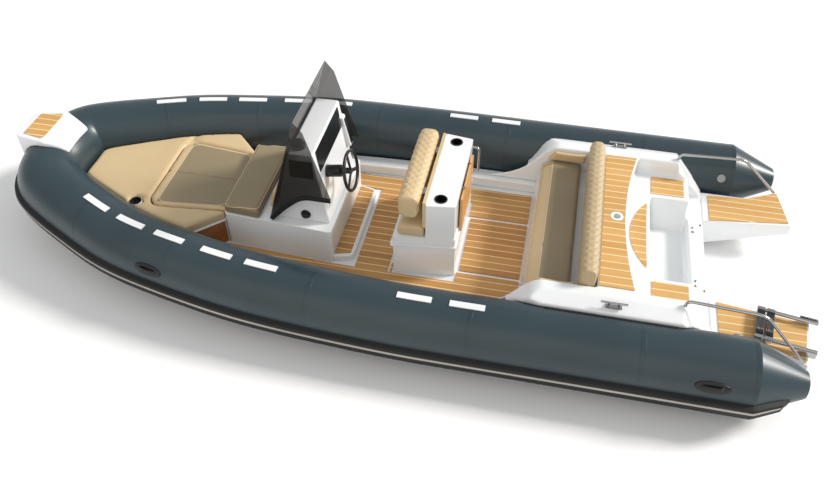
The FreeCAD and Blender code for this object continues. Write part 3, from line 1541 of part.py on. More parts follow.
def backrest_brackets():
    """White posts that carry the backrest over the bench base."""
    x0 = BACKREST_AFT_X + 34.0
    post = block(x0, x0 + 52.0, BRACKET_Y - 45.0, BRACKET_Y + 45.0, BENCH_TOP_Z, BACKREST_BOTTOM_Z)
    return Part.makeCompound([post, mirrored(post)])


def arm_cushions():
    """Pads on the inner faces of the coamings beside the bench."""
    low = BENCH_SEAT_TOP_Z + BENCH_ROLL_RISE + CUSHION_GAP
    outline = [
        (ARM_AFT_X, low),
        (ARM_FWD_X, low),
        (ARM_FWD_X - 70.0, ARM_TOP_Z),
        (ARM_AFT_X, ARM_TOP_Z),
    ]
    pad = prism_y(outline, COAMING_INNER_Y - ARM_THICKNESS, COAMING_INNER_Y)
    return both_sides(soft(pad, ARM_THICKNESS / 4))


def coaming_half():
    """Port coaming over the collar: inner wall, top and outer edge."""
    z0 = HULL_DECK_Z
    section = [
        (COAMING_INNER_Y, z0),
        (COAMING_INNER_Y, COAMING_TOP_Z),
        (COAMING_CREST_Y, COAMING_TOP_Z),
        (COAMING_OUTER_Y, COAMING_OUTER_Z),
        (COAMING_OUTER_Y, COAMING_SKIRT_Z),
        (COAMING_INNER_Y + COAMING_WALL, COAMING_SKIRT_Z),
        (COAMING_INNER_Y + COAMING_WALL, z0),
    ]
    points = [V(COAMING_AFT_X, y, z) for y, z in section]
    length = COAMING_FWD_X + COAMING_RAMP - COAMING_AFT_X
    body = prism(points, V(length, 0, 0))
    ramp_top = COAMING_TOP_Z + 1.0
    ramp_x = COAMING_FWD_X + COAMING_RAMP
    start, end = V(COAMING_FWD_X, 0, ramp_top), V(ramp_x, 0, LINER_LIP_Z)
    curve = Part.BSplineCurve()
    curve.interpolate(
        Points=[start, V((start.x + end.x) / 2 - COAMING_SAG, 0, (start.z + end.z) / 2), end],
        InitialTangent=V(1, 0, -0.25),
        FinalTangent=V(1, 0, -0.12),
    )
    edges = [
        curve.toShape(),
        Part.makeLine(end, V(ramp_x + 1.0, 0, LINER_LIP_Z)),
        Part.makeLine(V(ramp_x + 1.0, 0, LINER_LIP_Z), V(ramp_x + 1.0, 0, ramp_top)),
        Part.makeLine(V(ramp_x + 1.0, 0, ramp_top), start),
    ]
    ramp = Part.Face(Part.Wire(edges)).extrude(V(0, TUBE_HALF_BEAM, 0))
    taper = prism_z([
        (COAMING_FWD_X, COAMING_OUTER_Y + 1.0),
        (ramp_x + 1.0, COAMING_INNER_Y + COAMING_TIP),
        (ramp_x + 1.0, COAMING_OUTER_Y + 1.0),
    ], z0, ramp_top)
    return body.cut(ramp).cut(taper)


def sundeck_plan(edge_shift, z0, z1):
    """Sundeck plan with its hollow aft edge."""
    side = COAMING_INNER_Y
    side_x = SUNDECK_EDGE_SIDE_X + edge_shift
    mid_x = SUNDECK_EDGE_MID_X + edge_shift
    edges = [
        Part.Arc(V(side_x, side, z0), V(mid_x, 0, z0), V(side_x, -side, z0)).toShape(),
        Part.makeLine(V(side_x, -side, z0), V(SUNDECK_FWD_X, -side, z0)),
        Part.makeLine(V(SUNDECK_FWD_X, -side, z0), V(SUNDECK_FWD_X, side, z0)),
        Part.makeLine(V(SUNDECK_FWD_X, side, z0), V(side_x, side, z0)),
    ]
    return Part.Face(Part.Wire(edges)).extrude(V(0, 0, z1 - z0))


def transom_x(z):
    """X of the raked transom's aft face at a height."""
    return TRANSOM_AFT_X + math.tan(math.radians(TRANSOM_RAKE)) * (TRANSOM_TOP_Z - z)


def well_front():
    """Side outline of everything ahead of the engine well's sloping wall."""
    return [
        (WELL_FWD_X - WELL_FLARE, HULL_DECK_Z),
        (WELL_FWD_X - WELL_FLARE, WELL_FLOOR_Z),
        (WELL_FWD_X, CRESCENT_Z),
    ]


def stern_moulding():
    """Sundeck with the crescent step and the fore wall of the engine well."""
    side = COAMING_INNER_Y
    low = prism_y(well_front() + [
        (SUNDECK_FWD_X, CRESCENT_Z),
        (SUNDECK_FWD_X, HULL_DECK_Z),
    ], -side, side)
    body = low.fuse(sundeck_plan(0.0, HULL_DECK_Z, SUNDECK_Z))
    top = SUNDECK_Z - PEDESTAL_DEPTH
    socket = Part.makeCylinder(PEDESTAL_BORE, PEDESTAL_DEPTH, V(PEDESTAL_X, PEDESTAL_Y, top))
    body = body.cut(socket).cut(ENVELOPE)
    return body.removeSplitter()


def transom_board():
    """Board that carries the engine, with the floor of the well."""
    half = WELL_HALF - WELL_FLARE
    return prism_y([
        (transom_x(HULL_DECK_Z), HULL_DECK_Z),
        (TRANSOM_AFT_X, TRANSOM_TOP_Z),
        (WELL_AFT_X, TRANSOM_TOP_Z),
        (WELL_AFT_X, WELL_FLOOR_Z),
        (WELL_FWD_X - WELL_FLARE, WELL_FLOOR_Z),
        (WELL_FWD_X - WELL_FLARE, HULL_DECK_Z),
    ], -half, half)


def side_step_half():
    """Port step beside the engine well, with its part of the transom."""
    inner = WELL_HALF - WELL_FLARE
    back = BOARD_PROUD / math.cos(math.radians(TRANSOM_RAKE))
    body = prism_y([
        (transom_x(HULL_DECK_Z) + back, HULL_DECK_Z),
        (TRANSOM_AFT_X + back, TRANSOM_TOP_Z),
        (SIDE_STEP_AFT_X, TRANSOM_TOP_Z),
        (SIDE_STEP_AFT_X, SIDE_STEP_Z),
        (WELL_FWD_X, SIDE_STEP_Z),
        (WELL_FWD_X - WELL_FLARE, WELL_FLOOR_Z),
        (WELL_FWD_X - WELL_FLARE, HULL_DECK_Z),
    ], inner, COAMING_INNER_Y)
    flare = prism([
        V(WELL_AFT_X, inner, WELL_FLOOR_Z),
        V(WELL_AFT_X, WELL_HALF, SIDE_STEP_Z),
        V(WELL_AFT_X, inner, SIDE_STEP_Z),
    ], V(WELL_FWD_X - WELL_AFT_X, 0, 0))
    return body.cut(flare).cut(ENVELOPE)


def side_steps():
    """Steps on both sides of the engine well."""
    return both_sides(side_step_half())


def shoulder():
    """Aft end of the port coaming, falling to the transom's top."""
    z0 = HULL_DECK_Z
    skin = COAMING_INNER_Y + COAMING_WALL
    high = [
        (SHOULDER_INNER_Y, z0),
        (SHOULDER_INNER_Y, COAMING_OUTER_Z),
        (COAMING_INNER_Y, COAMING_TOP_Z),
        (COAMING_CREST_Y, COAMING_TOP_Z),
        (COAMING_OUTER_Y, COAMING_OUTER_Z),
        (COAMING_OUTER_Y, COAMING_SKIRT_Z),
        (skin, COAMING_SKIRT_Z),
        (skin, z0),
    ]
    low = [
        (SHOULDER_INNER_Y, z0),
        (SHOULDER_INNER_Y, TRANSOM_TOP_Z),
        (COAMING_INNER_Y, TRANSOM_TOP_Z),
        (SHOULDER_OUTER_Y - SHOULDER_EDGE, TRANSOM_TOP_Z),
        (SHOULDER_OUTER_Y, TRANSOM_TOP_Z - SHOULDER_EDGE),
        (SHOULDER_OUTER_Y, SHOULDER_SKIRT_Z),
        (skin, SHOULDER_SKIRT_Z),
        (skin, z0),
    ]
    wires = []
    for x, ring in ((TRANSOM_AFT_X, low), (COAMING_AFT_X, high)):
        points = [V(x, y, z) for y, z in ring]
        wires.append(Part.makePolygon(points + [points[0]]))
    body = Part.makeLoft(wires, True, True)
    behind = prism_y([
        (TRANSOM_AFT_X - 1.0, z0),
        (transom_x(z0), z0),
        (TRANSOM_AFT_X, TRANSOM_TOP_Z),
        (TRANSOM_AFT_X - 1.0, TRANSOM_TOP_Z),
    ], 0.0, TUBE_HALF_BEAM)
    return body.cut(behind)


def coamings():
    """Coamings over the collar from the transom to the cockpit."""
    body = coaming_half().fuse(shoulder())
    body = body.cut(side_step_half()).cut(liner_ring()).cut(deck_liner()).cut(ENVELOPE)
    solids = sorted(body.Solids, key=lambda solid: -solid.Volume)
    return both_sides(solids[0].removeSplitter())


def sundeck_teak():
    """Teak on the sundeck, the crescent step and the two side steps."""
    top = SUNDECK_Z + TEAK_THICKNESS * 0.8
    deck = sundeck_plan(TEAK_MARGIN, SUNDECK_Z, top)
    half = SUNDECK_HALF - 16.0
    deck = deck.common(block(0.0, SUNDECK_FWD_X - TEAK_MARGIN, -half, half, SUNDECK_Z, top))
    ring = Part.makeCylinder(PEDESTAL_RING + 4.0, 60.0, V(PEDESTAL_X, PEDESTAL_Y, SUNDECK_Z - 10.0))
    return deck.cut(ring)


def step_teak():
    """Teak of the crescent step and the side steps."""
    thickness = TEAK_THICKNESS * 0.8
    z = CRESCENT_Z
    tip = V(CRESCENT_TIP_X, CRESCENT_HALF, z)
    outer = Part.Arc(tip, V(CRESCENT_MID_X, 0, z), V(CRESCENT_TIP_X, -CRESCENT_HALF, z)).toShape()
    chord = Part.Arc(V(CRESCENT_TIP_X, -CRESCENT_HALF, z), V(CRESCENT_CHORD_X, 0, z), tip).toShape()
    crescent = Part.Face(Part.Wire([outer, chord])).extrude(V(0, 0, thickness))
    plan = [
        (SIDE_TEAK_AFT_X, SIDE_TEAK_INNER_Y),
        (SIDE_TEAK_FWD_X, SIDE_TEAK_INNER_Y),
        (SIDE_TEAK_FWD_X, SIDE_TEAK_OUTER_Y),
        (SIDE_TEAK_AFT_X, SIDE_TEAK_OUTER_Y),
    ]
    side = prism_z(plan, SIDE_STEP_Z, SIDE_STEP_Z + thickness)
    return Part.makeCompound([crescent, side, mirrored(side)])


def pedestal_ring():
    """White ring round the table pedestal socket."""
    ring = Part.makeCylinder(PEDESTAL_RING, TEAK_THICKNESS, V(PEDESTAL_X, PEDESTAL_Y, SUNDECK_Z))
    bore = Part.makeCylinder(PEDESTAL_BORE, TEAK_THICKNESS + 2.0, V(PEDESTAL_X, PEDESTAL_Y, SUNDECK_Z - 1.0))
    return ring.cut(bore)


def platform_half():
    """Port hull extension that carries a swim platform."""
    root_x = transom_x(PLATFORM_ROOT_Z)
    plan = [
        (root_x, PLATFORM_INNER_FWD),
        (PLATFORM_TIP_X, PLATFORM_INNER_AFT),
        (PLATFORM_OUTER_TIP_X, PLATFORM_OUTER_TIP_Y),
        (PLATFORM_WAIST_X, PLATFORM_OUTER),
        (root_x, PLATFORM_OUTER),
    ]
    body = prism_z(plan, PLATFORM_ROOT_Z, PLATFORM_Z)
    profile = prism_y([
        (root_x, PLATFORM_ROOT_Z),
        (transom_x(PLATFORM_Z), PLATFORM_Z),
        (PLATFORM_TIP_X, PLATFORM_Z),
        (PLATFORM_TIP_X, PLATFORM_TIP_Z),
    ], 0.0, TUBE_HALF_BEAM)
    return body.common(profile).cut(ENVELOPE)


def platforms():
    """Both swim platforms."""
    half = platform_half()
    solids = sorted(half.Solids, key=lambda solid: -solid.Volume)
    return both_sides(solids[0])


def platform_teak():
    """Teak on the swim platforms."""
    margin = PLATFORM_MARGIN
    plan = [
        (TRANSOM_AFT_X - 62.0, PLATFORM_INNER_FWD + margin),
        (PLATFORM_TIP_X + margin, PLATFORM_INNER_AFT + margin * 1.3),
        (PLATFORM_OUTER_TIP_X + margin * 0.6, PLATFORM_OUTER_TIP_Y - margin * 1.2),
        (PLATFORM_WAIST_X, PLATFORM_OUTER - margin),
        (TRANSOM_AFT_X - 62.0, PLATFORM_OUTER - margin - 20.0),
    ]
    pad = prism_z(plan, PLATFORM_Z, PLATFORM_Z + TEAK_THICKNESS * 0.8)
    return both_sides(pad.cut(ENVELOPE))


def stern_rail_half():
    """Port stern rail: main bow and thin leg."""
    main = bent_rod([
        V(RAIL_FOOT_X, RAIL_FOOT_Y, COAMING_TOP_Z),
        V(RAIL_FOOT_X, RAIL_FOOT_Y, RAIL_TOP_Z),
        V(RAIL_KNEE_X, RAIL_KNEE_Y, RAIL_TOP_Z),
        V(RAIL_END_X, RAIL_END_Y, PLATFORM_Z + TEAK_THICKNESS),
    ], RAIL_RADIUS, [RAIL_BEND, RAIL_KNEE_BEND])
    return main


def stern_rails():
    """Both stern rails."""
    return both_sides(stern_rail_half())


def cleat_half():
    """Port cleat: a bar on two posts over a base."""
    z = CLEAT_Z
    base = block(CLEAT_X - 62.0, CLEAT_X + 62.0, CLEAT_Y - 19.0, CLEAT_Y + 19.0, z, z + 6.0)
    bar_z = z + 42.0
    bar = Part.makeCylinder(8.0, CLEAT_LENGTH, V(CLEAT_X - CLEAT_LENGTH / 2, CLEAT_Y, bar_z), V(1, 0, 0))
    cleat = base.fuse(bar)
    for shift in (-38.0, 38.0):
        cleat = cleat.fuse(Part.makeCylinder(9.0, bar_z - z, V(CLEAT_X + shift, CLEAT_Y, z)))
    return cleat.removeSplitter()


def cleats():
    """Both stern cleats."""
    return both_sides(cleat_half())


def bow_eye():
    """Bow eye: a bent bar whose two ends meet the stem."""
    stem = hull_line(lambda station: hull_corner(station, 0, 1), V(*KEEL_STEM_SLOPE))
    def on_stem(x):
        point = stem.value(parameter_at(stem, x))
        return V(point.x, 0, point.z)
    along = stem.tangent(parameter_at(stem, BOW_EYE_X))[0]
    outward = V(along.z, 0, -along.x).normalize()
    ends = [on_stem(BOW_EYE_X + side * BOW_EYE_HALF * along.x) for side in (-1, 1)]
    start, end = [point + outward * SEAT_CLEARANCE for point in ends]
    return bent_rod([
        start,
        start + outward * BOW_EYE_REACH,
        end + outward * BOW_EYE_REACH,
        end,
    ], BOW_EYE_ROD, [BOW_EYE_BEND] * 2)


def ladder_frame(shape):
    """Turn a piece drawn straight aft into the ladder's place."""
    placed_shape = shape.copy()
    placed_shape.rotate(V(0, 0, 0), V(0, 0, 1), -LADDER_YAW)
    placed_shape.translate(V(LADDER_HINGE_X, LADDER_HINGE_Y, LADDER_HINGE_Z))
    return placed_shape


def ladder_outer():
    """Outer tubes of the ladder with a tread at their forward end."""
    start, end = -LADDER_TUBE_RADIUS, LADDER_LENGTH
    rod = Part.makeCylinder(LADDER_TUBE_RADIUS, end - start, V(start, LADDER_HALF, 0), V(1, 0, 0))
    bore_x = LADDER_TUBE_RADIUS * 2
    bore_start = V(bore_x, LADDER_HALF, 0)
    bore = Part.makeCylinder(LADDER_INNER_RADIUS + LADDER_PLAY, end - bore_x + 1.0, bore_start, V(1, 0, 0))
    frame = rod.cut(bore).fuse(mirrored(rod.cut(bore)))
    tread = ladder_tread(LADDER_LENGTH - LADDER_TREAD_WIDTH - 4.0)
    tread = tread.cut(bore).cut(mirrored(bore))
    reach = LADDER_HALF + LADDER_TUBE_RADIUS
    pin_room = Part.makeCylinder(LADDER_PIN + LADDER_PLAY, reach * 2, V(0, -reach, 0), V(0, 1, 0))
    return ladder_frame(frame.fuse(tread).cut(pin_room).removeSplitter())


def ladder_tread(x):
    """Flat tread between the ladder's tubes."""
    y = LADDER_HALF + LADDER_TUBE_RADIUS
    tread = block(x, x + LADDER_TREAD_WIDTH, -y, y, -LADDER_TREAD_DEPTH / 2, LADDER_TREAD_DEPTH / 2)
    return rounded(tread, 6.0, is_upright)


def ladder_inner():
    """Sliding section: inner tubes and the last tread."""
    start = LADDER_LENGTH * 0.35
    length = LADDER_LENGTH + 8.0 - start
    rod = Part.makeCylinder(LADDER_INNER_RADIUS, length, V(start, LADDER_HALF, 0), V(1, 0, 0))
    tread = ladder_tread(LADDER_LENGTH + 6.0)
    return ladder_frame(rod.fuse(mirrored(rod)).fuse(tread).removeSplitter())


def ladder_bracket():
    """Hinge brackets of the ladder: a lug and a pin at each tube."""
    inner = LADDER_HALF + LADDER_TUBE_RADIUS + LADDER_LUG_GAP
    outer = inner + LADDER_LUG
    drop = LADDER_HINGE_Z - PLATFORM_Z - TEAK_THICKNESS * 0.8
    lug = block(-LADDER_LUG_NOSE, LADDER_LUG_LENGTH, inner, outer, -drop, LADDER_LUG_NOSE)
    start = LADDER_HALF - LADDER_TUBE_RADIUS
    pin = Part.makeCylinder(LADDER_PIN, outer - start, V(0, start, 0), V(0, 1, 0))
    return ladder_frame(both_sides(pin.fuse(lug)))


NODES = {
    "hull": hull,
    "deck_liner": deck_liner,
    "side_walls": side_walls,
    "sole_teak": sole_panels,
    "inflatable_collar": collar,
    "rub_strake": strake,
    "strake_stripe": stripe,
    "collar_treads": treads,
    "lifting_handles": handles,
    "inflation_valves": valves,
    "bow_locker": bow_locker,
    "bow_cushions": bow_cushions,
    "infill_mattress": mattress,
    "bow_step": bow_step,
    "bow_step_teak": bow_step_teak,
    "bow_eye": bow_eye,
    "console_base": console_base,
    "console_tower": console_tower,
    "console_seat_cushion": console_seat,
    "console_backrest": console_backrest,
    "console_panels": console_panels,
    "compass": compass,
    "socket_plate": side_socket,
    "socket_knob": side_knob,
    "windscreen": windscreen,
    "windscreen_trim": windscreen_trim,
    "helm_hub": helm_hub,
    "steering_wheel": steering_wheel,
    "helm_step": helm_step,
    "helm_step_teak": helm_step_teak,
    "leaning_post_base": post_base,
    "leaning_post_cabinet": post_cabinet,
    "cup_holders": cup_liners,
    "leaning_post_seat": post_seat,
    "bolster_backing": bolster_backing,
    "bolster_brackets": bolster_brackets,
    "leaning_post_bolster": bolster,
    "folding_table": folding_table,
    "table_bracket": table_bracket,
    "post_grab_rail": grab_rail,
    "bench_base": bench_base,
    "bench_cushions": bench_cushions,
    "bench_backrest": bench_backrest,
    "backrest_brackets": backrest_brackets,
    "arm_cushions": arm_cushions,
    "stern_moulding": stern_moulding,
    "transom_board": transom_board,
    "side_steps": side_steps,
    "coamings": coamings,
    "sundeck_teak": sundeck_teak,
    "step_teak": step_teak,
    "pedestal_ring": pedestal_ring,
    "swim_platforms": platforms,
    "platform_teak": platform_teak,
    "stern_rails": stern_rails,
    "cleats": cleats,
    "ladder_bracket": ladder_bracket,
    "ladder_frame": ladder_outer,
    "ladder_extension": ladder_inner,
}

for node_name, draw_node in NODES.items():
    save(draw_node(), node_name)
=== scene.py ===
import logging
import math
from dataclasses import dataclass, field
from enum import Enum
from typing import Optional, Sequence

import bmesh
import bpy
import numpy as np
from mathutils import Matrix, Vector
from mathutils.bvhtree import BVHTree


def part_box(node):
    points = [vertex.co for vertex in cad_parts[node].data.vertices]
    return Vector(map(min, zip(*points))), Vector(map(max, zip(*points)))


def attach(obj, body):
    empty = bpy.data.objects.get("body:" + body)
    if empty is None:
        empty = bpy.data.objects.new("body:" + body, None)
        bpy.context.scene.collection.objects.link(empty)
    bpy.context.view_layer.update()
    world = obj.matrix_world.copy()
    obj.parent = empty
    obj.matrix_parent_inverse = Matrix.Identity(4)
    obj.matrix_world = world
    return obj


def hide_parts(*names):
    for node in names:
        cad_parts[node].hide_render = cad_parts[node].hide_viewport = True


log = logging.getLogger("boat")
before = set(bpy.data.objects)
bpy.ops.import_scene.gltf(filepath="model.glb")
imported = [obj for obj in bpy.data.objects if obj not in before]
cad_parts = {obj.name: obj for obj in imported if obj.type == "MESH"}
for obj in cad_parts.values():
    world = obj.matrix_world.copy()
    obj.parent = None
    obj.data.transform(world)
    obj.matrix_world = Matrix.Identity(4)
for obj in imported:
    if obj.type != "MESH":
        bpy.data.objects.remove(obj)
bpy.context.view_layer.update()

# The camera as solved from the photograph, in the boat's frame, in metres
CAMERA_PLACE = (1.523772, 5.183136, 5.1846)
CAMERA_RIGHT = (-0.97962971, -0.20075839, 0.00465733)
CAMERA_UP = (0.14331508, -0.68270485, 0.71650183)
CAMERA_LOOK = (0.14066418, -0.70257395, -0.69756967)
CAMERA_FOCAL = 802.9
PHOTO_WIDTH = 834
SENSOR_WIDTH = 36.0
WATERLINE = 0.0

# The collar's centreline on the port side and its radius, as in the part's source
COLLAR_LINE = (
    (-0.205, 1.196, 0.325), (1.0, 1.196, 0.325), (2.2, 1.196, 0.325), (3.0, 1.172, 0.335),
    (3.8, 1.108, 0.352), (4.4, 0.997, 0.363), (4.95, 0.853, 0.383), (5.35, 0.673, 0.410),
    (5.765, 0.449, 0.44), (5.93, 0.20, 0.475), (5.939, 0.0, 0.485),
)
COLLAR_RADIUS = 0.283

# The sides by the sign of Y
SIDE_NAMES = {1: "port", -1: "starboard"}

Colour = tuple[float, float, float]
Place = tuple[float, float, float]
Pairs = tuple[tuple[float, float], ...]
Piece = bpy.types.Object
Socket = bpy.types.NodeSocket
Node = bpy.types.Node
Faces = bmesh.types.BMesh
UP = np.array([0.0, 0.0, 1.0])
FULL_TURN = 2 * math.pi

# Corners of a CAD mesh that are this close are joined, in metres
JOIN_WITHIN = 1e-5
# Faces of a CAD mesh that turn by less than this are made one, in degrees
FLAT_WITHIN = 0.6
# Edges of a moulding that turn by more than this are rounded, in degrees
SHARP_FROM = 32
# How far over a path the lines start that let it fall on a surface, in metres
FALL_FROM = 0.3


class Quilt(Enum):
    """How the cover of a pad is sewn through."""

    PLAIN = "plain"
    DIAMOND = "diamond"
    MIDDLE = "one seam along the middle"


class Shading(Enum):
    """How the faces of a piece are shaded."""

    FLAT = 0
    SMOOTH = 1


class Nodes:
    """A small writer of shader trees: makes nodes and joins them by name."""

    def __init__(self, tree: bpy.types.NodeTree) -> None:
        """Keeps the tree to write in."""
        self.tree = tree

    def add(self, kind: str, **settings: object) -> Node:
        """Adds a node.

        Args:
            kind: the node's type name.
            settings: its properties.

        Returns:
            The new node.
        """
        node = self.tree.nodes.new(kind)
        for name, value in settings.items():
            setattr(node, name, value)
        return node

    def join(self, source: Socket, target: Socket) -> None:
        """Links an output to an input."""
        self.tree.links.new(source, target)

    def give(self, node: Node, **values: object) -> None:
        """Sets inputs of a node; an underscore in a name stands for a blank."""
        for name, value in values.items():
            node.inputs[name.replace("_", " ")].default_value = value

    def spread(self, value: Socket, low: float, high: float) -> Socket:
        """Maps a value from 0 to 1 onto a range."""
        node = self.add("ShaderNodeMapRange")
        self.join(value, node.inputs["Value"])
        self.give(node, To_Min=low, To_Max=high)
        return node.outputs[0]

    def bump(self, height: Socket, distance: float) -> Socket:
        """The normal of a surface whose height changes by a distance."""
        node = self.add("ShaderNodeBump")
        self.give(node, Distance=distance, Strength=1.0)
        self.join(height, node.inputs["Height"])
        return node.outputs[0]

    def math(self, what: str, first: object, second: object = 0.0) -> Socket:
        """A Math node.

        Args:
            what: the operation's name.
            first: a socket or a number.
            second: a socket or a number.

        Returns:
            Its value output.
        """
        node = self.add("ShaderNodeMath", operation=what)
        for socket, value in zip(node.inputs, (first, second)):
            if isinstance(value, Socket):
                self.join(value, socket)
            else:
                socket.default_value = value
        return node.outputs[0]

    def ramp(self, value: Socket, stops: Sequence[tuple[float, Colour]]) -> Socket:
        """A colour ramp.

        Args:
            value: what it reads.
            stops: places and colours.

        Returns:
            Its colour output.
        """
        node = self.add("ShaderNodeValToRGB")
        points = node.color_ramp.elements
        while len(points) < len(stops):
            points.new(0.5)
        for point, (place, colour) in zip(points, stops):
            point.position = place
            point.color = (*colour, 1.0)
        self.join(value, node.inputs[0])
        return node.outputs[0]


def object_place(nodes: Nodes) -> Socket:
    """The Object coordinates of the surface."""
    return nodes.add("ShaderNodeTexCoord").outputs["Object"]


def group(name: str, inputs: dict[str, float], outputs: Sequence[str]) -> tuple[Nodes, Node, Node]:
    """Makes an empty shader group.

    Args:
        name: the group's name.
        inputs: its inputs and their defaults.
        outputs: its outputs.

    Returns:
        A writer for it, its input node and its output node.
    """
    tree = bpy.data.node_groups.new(name, "ShaderNodeTree")
    for label, value in inputs.items():
        socket = tree.interface.new_socket(name=label, in_out="INPUT", socket_type="NodeSocketFloat")
        socket.default_value = value
    for label in outputs:
        tree.interface.new_socket(name=label, in_out="OUTPUT", socket_type="NodeSocketFloat")
    nodes = Nodes(tree)
    return nodes, nodes.add("NodeGroupInput"), nodes.add("NodeGroupOutput")


def make_mottle() -> None:
    """Slow change over a surface plus a fine grain, as two values round 0.5."""
    nodes, given, out = group("mottle", {"Patch Scale": 2.0, "Grain Scale": 400.0}, ("Patch", "Grain"))
    place = object_place(nodes)
    for label, scale, detail in (("Patch", "Patch Scale", 3.0), ("Grain", "Grain Scale", 2.0)):
        noise = nodes.add("ShaderNodeTexNoise")
        nodes.give(noise, Detail=detail)
        nodes.join(place, noise.inputs["Vector"])
        nodes.join(given.outputs[scale], noise.inputs["Scale"])
        nodes.join(noise.outputs[0], out.inputs[label])


def make_planks() -> None:
    """Planks that run along X with a caulk line between them.

    The plank number is the whole part of y over the pitch, and the caulk
    mask is 1 where the fractional part lies within half a seam of an edge.
    """
    nodes, given, out = group("planks", {"Pitch": 0.078, "Seam": 0.010}, ("Caulk", "Tone", "Fibre"))
    place = object_place(nodes)
    split = nodes.add("ShaderNodeSeparateXYZ")
    nodes.join(place, split.inputs[0])
    row = nodes.math("DIVIDE", split.outputs["Y"], given.outputs["Pitch"])
    whole = nodes.math("FLOOR", row)
    part = nodes.math("FRACT", row)
    edge = nodes.math("ABSOLUTE", nodes.math("SUBTRACT", part, 0.5))
    near = nodes.math("MULTIPLY", nodes.math("SUBTRACT", 0.5, edge), given.outputs["Pitch"])
    seam = nodes.math("DIVIDE", given.outputs["Seam"], 2.0)
    soft = nodes.add("ShaderNodeMapRange", interpolation_type="SMOOTHSTEP")
    nodes.join(near, soft.inputs["Value"])
    nodes.join(nodes.math("MULTIPLY", seam, 0.7), soft.inputs["From Min"])
    nodes.join(nodes.math("MULTIPLY", seam, 1.3), soft.inputs["From Max"])
    nodes.give(soft, To_Min=1.0, To_Max=0.0)
    nodes.join(soft.outputs[0], out.inputs["Caulk"])
    seed = nodes.add("ShaderNodeTexWhiteNoise", noise_dimensions="1D")
    nodes.join(whole, seed.inputs["W"])
    nodes.join(seed.outputs["Value"], out.inputs["Tone"])
    stretch = nodes.add("ShaderNodeMapping")
    nodes.give(stretch, Scale=(3.0, 70.0, 70.0))
    nodes.join(place, stretch.inputs["Vector"])
    fibre = nodes.add("ShaderNodeTexNoise")
    nodes.give(fibre, Scale=1.0, Detail=5.0)
    nodes.join(stretch.outputs[0], fibre.inputs["Vector"])
    nodes.join(fibre.outputs[0], out.inputs["Fibre"])


@dataclass(frozen=True)
class Material:
    """A material that is made once and shared.

    Attributes:
        name: the material's name.
    """

    name: str

    def make(self) -> bpy.types.Material:
        """The material."""
        found = bpy.data.materials.get(self.name)
        if found:
            return found
        material = bpy.data.materials.new(self.name)
        material.use_nodes = True
        self.write(Nodes(material.node_tree), material.node_tree.nodes["Principled BSDF"])
        return material

    def write(self, nodes: Nodes, shader: Node) -> None:
        """Writes the nodes ahead of the shader.

        Args:
            nodes: a writer for the material's tree.
            shader: its Principled shader.
        """
        raise NotImplementedError


@dataclass(frozen=True)
class Finish(Material):
    """A plain finish: a colour that drifts a little, with a fine grain.

    Attributes:
        colour: its main colour, linear.
        shade: the colour that it drifts to.
        roughness: its middle roughness.
        spread: how far roughness drifts.
        grain: the grain's scale, per metre.
        bump: the grain's height, in metres.
        metallic: 1 for metal.
        coat: the clear coat's weight.
        patch: the drift's scale, per metre.
        coat_roughness: the clear coat's roughness.
    """

    colour: Colour = (0.8, 0.8, 0.8)
    shade: Colour = (0.7, 0.7, 0.7)
    roughness: float = 0.4
    spread: float = 0.06
    grain: float = 500.0
    bump: float = 0.0002
    metallic: float = 0.0
    coat: float = 0.0
    patch: float = 1.5
    coat_roughness: float = 0.08

    def write(self, nodes: Nodes, shader: Node) -> None:
        """Writes the nodes ahead of the shader."""
        drift = nodes.add("ShaderNodeGroup", node_tree=bpy.data.node_groups["mottle"])
        nodes.give(drift, Patch_Scale=self.patch, Grain_Scale=self.grain)
        colour = nodes.ramp(drift.outputs["Patch"], [(0.3, self.shade), (0.7, self.colour)])
        nodes.join(colour, shader.inputs["Base Color"])
        grain = drift.outputs["Grain"]
        rough = nodes.spread(grain, self.roughness - self.spread, self.roughness + self.spread)
        nodes.join(rough, shader.inputs["Roughness"])
        nodes.join(nodes.bump(grain, self.bump), shader.inputs["Normal"])
        nodes.give(shader, Metallic=self.metallic, Coat_Weight=self.coat, Coat_Roughness=self.coat_roughness)


